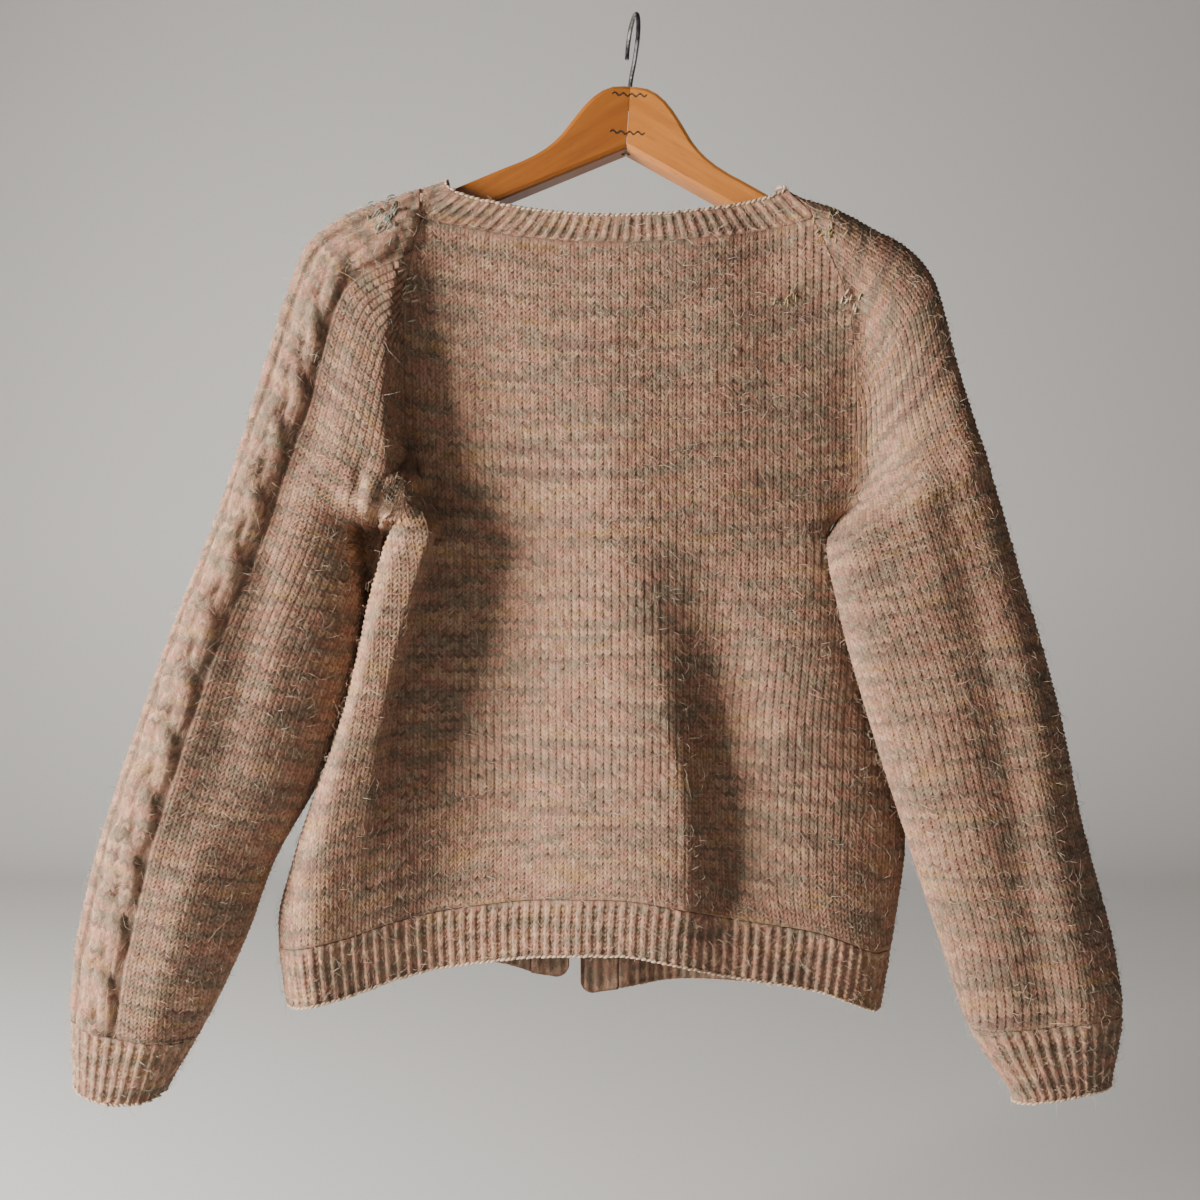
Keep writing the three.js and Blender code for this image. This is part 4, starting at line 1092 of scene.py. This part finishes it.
def knit_band(name, seam_line, seam_x, edge_x):
    rows = int((FRONT_NECK_LEVEL - HEM_LEVEL + 24) / COURSE * STEPS_UP)
    keys = np.linspace(0, 1, rows)
    surface = band_surface(seam_line, seam_x, edge_x)
    wales = Wales(surface, keys, (0, 1), np.zeros(rows), RIB_WALE, 40)
    knit(name, wales, ribbing, seam_x > edge_x, FULL_RIB)


knit_band("front_band_left", FRONT_LEFT_LINES[3], LEFT_OPENING_X - BAND_WIDTH, LEFT_OPENING_X)
knit_band("front_band_right", FRONT_RIGHT_LINES[0], RIGHT_OPENING_X + BAND_WIDTH, RIGHT_OPENING_X)


# ---------------------------------------------------------------- sleeves and cuffs

def even_rows(sleeve, first, last):
    """Ring places one mesh row apart, measured down the middle of the sleeve's back."""
    places = np.linspace(first, last, 900)
    middle = sleeve.point(places, np.full(900, 0.62))
    lengths = arc_lengths(middle[None])[0]
    rows = int(round(lengths[-1] / (COURSE / STEPS_UP)))
    return np.interp(np.linspace(0, lengths[-1], rows + 1), lengths, places)


def knit_sleeve(side, sleeve, flip, cable_offset):
    for part, first, last, relief, wale, rib_depth in (
        (f"sleeve_{side}", 0, CUFF_RING, cabled, WALE, 0.0),
        (f"cuff_{side}", CUFF_RING, LAST_RING, ribbing, RIB_WALE, FULL_RIB),
    ):
        keys = even_rows(sleeve, first, last)
        wales = Wales(sleeve.point, keys, (0, 2), np.ones(len(keys)), wale,
                      warp=underarm if side == "left" else None)
        wales.cable_offset = cable_offset
        knit(part, wales, relief, flip, rib_depth)


knit_sleeve("left", SLEEVE_LEFT, False, LEFT_CABLE_OFFSET)
knit_sleeve("right", SLEEVE_RIGHT, True, RIGHT_CABLE_OFFSET)


# ---------------------------------------------------------------- neckband

def neck_seam_points():
    """The seam from the left front opening round the back of the neck to the right one."""
    steps = 50

    def top_of(panel):
        places = np.linspace(0, len(panel.lines) - 1, steps)
        return panel.point(np.full(steps, NECK_LEVEL), places)

    def top_of_sleeve(sleeve):
        return sleeve.point(np.zeros(steps), np.linspace(0, 2, steps))[2:-2]

    left, right = top_of(FRONT_LEFT)[::-1], top_of(FRONT_RIGHT)[::-1]
    left_end = [[LEFT_OPENING_X, left[0][1] - 2, FRONT_NECK_LEVEL]]
    right_end = [[RIGHT_OPENING_X, right[-1][1] - 2, FRONT_NECK_LEVEL]]
    return np.concatenate([
        left_end, left, top_of_sleeve(SLEEVE_LEFT)[::-1], top_of(BACK), top_of_sleeve(SLEEVE_RIGHT),
        right, right_end,
    ])


def even_path(path, step):
    lengths = arc_lengths(path[None])[0]
    at = np.linspace(0, lengths[-1], int(lengths[-1] / step) + 1)
    return np.stack([np.interp(at, lengths, path[:, k]) for k in range(3)], -1)


NECK_MIDDLE_X = -13.0
NECKBAND_LIFT = 19.0
NECKBAND_TAPER = 0.87


def knit_neckband():
    seam = even_path(neck_seam_points(), 2.0)
    for _ in range(3):
        seam[1:-1] = (seam[:-2] + 2 * seam[1:-1] + seam[2:]) / 4
    free = seam.copy()
    for _ in range(75):
        free[1:-1] = (free[:-2] + 2 * free[1:-1] + free[2:]) / 4
    free[:, 0] = NECK_MIDDLE_X + (seam[:, 0] - NECK_MIDDLE_X) * NECKBAND_TAPER
    free[:, 1] *= 0.97
    free[:, 2] += NECKBAND_LIFT * lerp(0.5, 1, np.clip((-seam[:, 2] - 132) / 20, 0, 1))
    lengths = arc_lengths(seam[None])[0]

    def point(down, place):
        at = place * lengths[-1]
        top = np.stack([np.interp(at, lengths, free[:, k]) for k in range(3)], -1)
        foot = np.stack([np.interp(at, lengths, seam[:, k]) for k in range(3)], -1)
        return lerp(top, foot, down[:, None])

    rows = int(NECKBAND_LIFT / COURSE * STEPS_UP) + 2
    keys = np.linspace(0, 1, rows)
    wales = Wales(point, keys, (0, 1), np.full(rows, 0.5), RIB_WALE, 500)
    knit("neckband", wales, shallow_ribbing, True, NECK_RIB)


knit_neckband()


# ---------------------------------------------------------------- small yarn pieces

def tubes(name, paths, radii, sides, material):
    """Many thin closed tubes as one mesh. paths is (count, points, 3), radii (count, points)."""
    count, steps = paths.shape[:2]
    along = np.gradient(paths, axis=1)
    along /= np.linalg.norm(along, axis=2, keepdims=True) + 1e-9
    helper = np.where(np.abs(along[..., :1]) < 0.8, [[[1.0, 0, 0]]], [[[0, 1.0, 0]]])
    across = np.cross(along, helper)
    across /= np.linalg.norm(across, axis=2, keepdims=True)
    other = np.cross(along, across)
    angles = np.arange(sides) * 2 * np.pi / sides
    ring = (
        across[:, :, None] * np.cos(angles)[None, None, :, None]
        + other[:, :, None] * np.sin(angles)[None, None, :, None]
    )
    points = (paths[:, :, None] + ring * radii[:, :, None, None]).reshape(-1, 3)
    base = (np.arange(count) * steps * sides)[:, None, None]
    level = (np.arange(steps - 1) * sides)[None, :, None]
    side = np.arange(sides)
    following = (side + 1) % sides
    quads = np.stack([base + level + side, base + level + following,
                      base + level + sides + following, base + level + sides + side], -1).reshape(-1, 4)
    starts = np.arange(count)[:, None] * steps * sides
    caps = np.concatenate([starts + side[::-1], starts + (steps - 1) * sides + side])
    mesh = bpy.data.meshes.new(name)
    fill_mesh(mesh, points, [
        (quads, np.zeros((len(quads), 4, 2))), (caps, np.zeros((len(caps), sides, 2)))])
    return add_piece(name, mesh, material)


def unit(vectors):
    return vectors / (np.linalg.norm(vectors, axis=-1, keepdims=True) + 1e-9)


PALE_YARN = yarn("pale_edge_yarn", (0.58, 0.41, 0.28))
MOHAIR = yarn("mohair_halo", (0.66, 0.50, 0.36))
SKIN_POINTS = np.concatenate([points for points, _ in skins])
SKIN_NORMALS = np.concatenate([normals for _, normals in skins])


def add_mohair(name, count, length, lift, radius):
    """Loose fibres that stand off the knitting and curl back to it."""
    root = dice.integers(0, len(SKIN_POINTS), count)
    start, normal = SKIN_POINTS[root], SKIN_NORMALS[root]
    way = dice.normal(0, 1, (count, 3))
    way = unit(way - (way * normal).sum(1, keepdims=True) * normal)
    bend = np.cross(normal, way) * dice.normal(0, 0.35, (count, 1))
    reach = length * dice.uniform(0.5, 1.5, (count, 1))
    rise_up = lift * dice.uniform(0.3, 1.8, (count, 1))
    stops = np.array([0.0, 0.45, 1.0])
    paths = np.stack([
        start - normal * 0.3 + (way * t + bend * t * t) * reach
        + normal * rise_up * np.sin(np.pi * 0.75 * t)
        for t in stops
    ], 1)
    radii = radius * np.array([1.0, 0.8, 0.3])[None] * dice.uniform(0.7, 1.2, (count, 1))
    tubes(name, paths, radii, 3, MOHAIR)


add_mohair("mohair_fibres", 13500, 8.0, 2.9, 0.13)
add_mohair("long_loose_hairs", 420, 16.0, 3.2, 0.12)


def add_edge_stitches(name, line, spacing, length, lean):
    """Slanted edge stitches, one after another along a cast-on or cast-off edge."""
    line = even_path(without_doubles(line), spacing)
    ahead = unit(np.gradient(line, axis=0))
    slant = np.array([0, 0, 1.0]) * lean
    stops = np.array([-0.5, -0.2, 0.2, 0.5])
    paths = np.stack([line + (ahead + slant) * length * t for t in stops], 1)
    paths += dice.normal(0, 0.15, (len(line), 1, 3))
    radii = np.array([0.45, 1.0, 1.0, 0.45])[None] * dice.uniform(0.85, 1.1, (len(line), 1))
    tubes(name, paths, radii, 6, PALE_YARN)


def without_doubles(line):
    steps = np.linalg.norm(np.diff(line, axis=0), axis=1)
    return line[np.append(True, steps > 1e-6)]


for piece_name, which in (
    ("back_hem_rib", -1), ("front_left_hem_rib", -1), ("front_right_hem_rib", -1), ("cuff_left", -1),
    ("cuff_right", -1), ("neckband", 0),
):
    line = edges[piece_name][which]
    add_edge_stitches(f"{piece_name}_edge_stitches", line, RIB_WALE, 4.5, 0.3)


def surface_near(x, z):
    """The outermost cloth at x, z on the cardigan's back."""
    away = np.hypot(SKIN_POINTS[:, 0] - x, SKIN_POINTS[:, 2] - z)
    top = np.argmin(away + 0.08 * SKIN_POINTS[:, 1])
    return SKIN_POINTS[top], SKIN_NORMALS[top]


def add_mend(name, x, z, spread, count, length, tilt, radius, material):
    """A small patch of duplicate stitches laid over the knitting."""
    paths = []
    for _ in range(count):
        point, normal = surface_near(x + dice.normal(0, spread[0]), z + dice.normal(0, spread[1]))
        angle = math.radians(tilt + dice.normal(0, 16))
        way = np.array([math.cos(angle), 0, math.sin(angle)])
        way = unit(way - (way @ normal) * normal)
        paths.append([point + way * length * t + normal * (0.2 + 1.1 * math.sin(math.pi * (t + 0.5)))
                      for t in (-0.5, -0.2, 0.1, 0.4)])
    radii = np.broadcast_to(np.array([0.4, 1, 1, 0.5]) * radius, (count, 4))
    tubes(name, np.array(paths), radii, 5, material)


SAGE_YARN = yarn("sage_darning_yarn", (0.30, 0.34, 0.27))
CREAM_YARN = yarn("cream_darning_yarn", (0.66, 0.54, 0.38))
OLIVE_YARN = yarn("olive_darning_yarn", (0.42, 0.33, 0.13))
add_mend("sage_mend_left_shoulder", -172, -155, (6, 6), 34, 7.0, 60, 0.45, SAGE_YARN)
add_mend("cream_mend_left_seam", -156, -202, (3, 8), 12, 6.5, 35, 0.6, CREAM_YARN)
add_mend("cream_mend_right_seam", 151, -209, (3, 3), 7, 6.0, 60, 0.6, CREAM_YARN)
add_mend("olive_mend_right_shoulder", 134, -160, (7, 8), 16, 6.5, 70, 0.5, OLIVE_YARN)
add_mend("olive_mend_right_back", 106, -208, (4, 4), 8, 6.0, 75, 0.5, OLIVE_YARN)


def add_lint_loop(x, z, radius):
    """A loop of loose fibre caught on the right sleeve."""
    point, normal = surface_near(x, z)
    side = unit(np.cross(normal, [0, 0, 1.0]))
    up = np.cross(side, normal)
    turns = np.linspace(-0.4, 1.35, 14) * math.pi
    path = [point + radius * (side * math.cos(a) + 0.7 * up * math.sin(a)) + normal * 1.2 for a in turns]
    tubes("lint_loop_right_sleeve", np.array([path]), np.full((1, len(path)), 0.2), 5, MOHAIR)


add_lint_loop(248.5, -604.0, 4.5)


# ---------------------------------------------------------------- wooden hanger

# one beech finish twice: a darker copy on the left arm for painted shade and a paler copy on the right
# arm for painted light, for how the two arms face the lamp
BEECH_LEFT = beech("varnished_beech_painted_shade_left", (0.38, 0.125, 0.016), (0.27, 0.08, 0.010))
BEECH_RIGHT = beech("varnished_beech_painted_light_right", (0.46, 0.175, 0.033), (0.34, 0.115, 0.02))
DULL_STEEL = steel("dull_fastener_steel", (0.20, 0.17, 0.14), 0.5)
WIRE_STEEL = steel("plated_hook_wire", (0.34, 0.34, 0.35), 0.3)

for node_name, finish in (
    ("hanger_arm_left", BEECH_LEFT), ("hanger_arm_right", BEECH_RIGHT), ("fastener_upper", DULL_STEEL),
    ("fastener_lower", DULL_STEEL), ("hook_rivet", DULL_STEEL), ("hanger_hook", WIRE_STEEL),
):
    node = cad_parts[node_name]
    node.data.materials.clear()
    node.data.materials.append(finish)
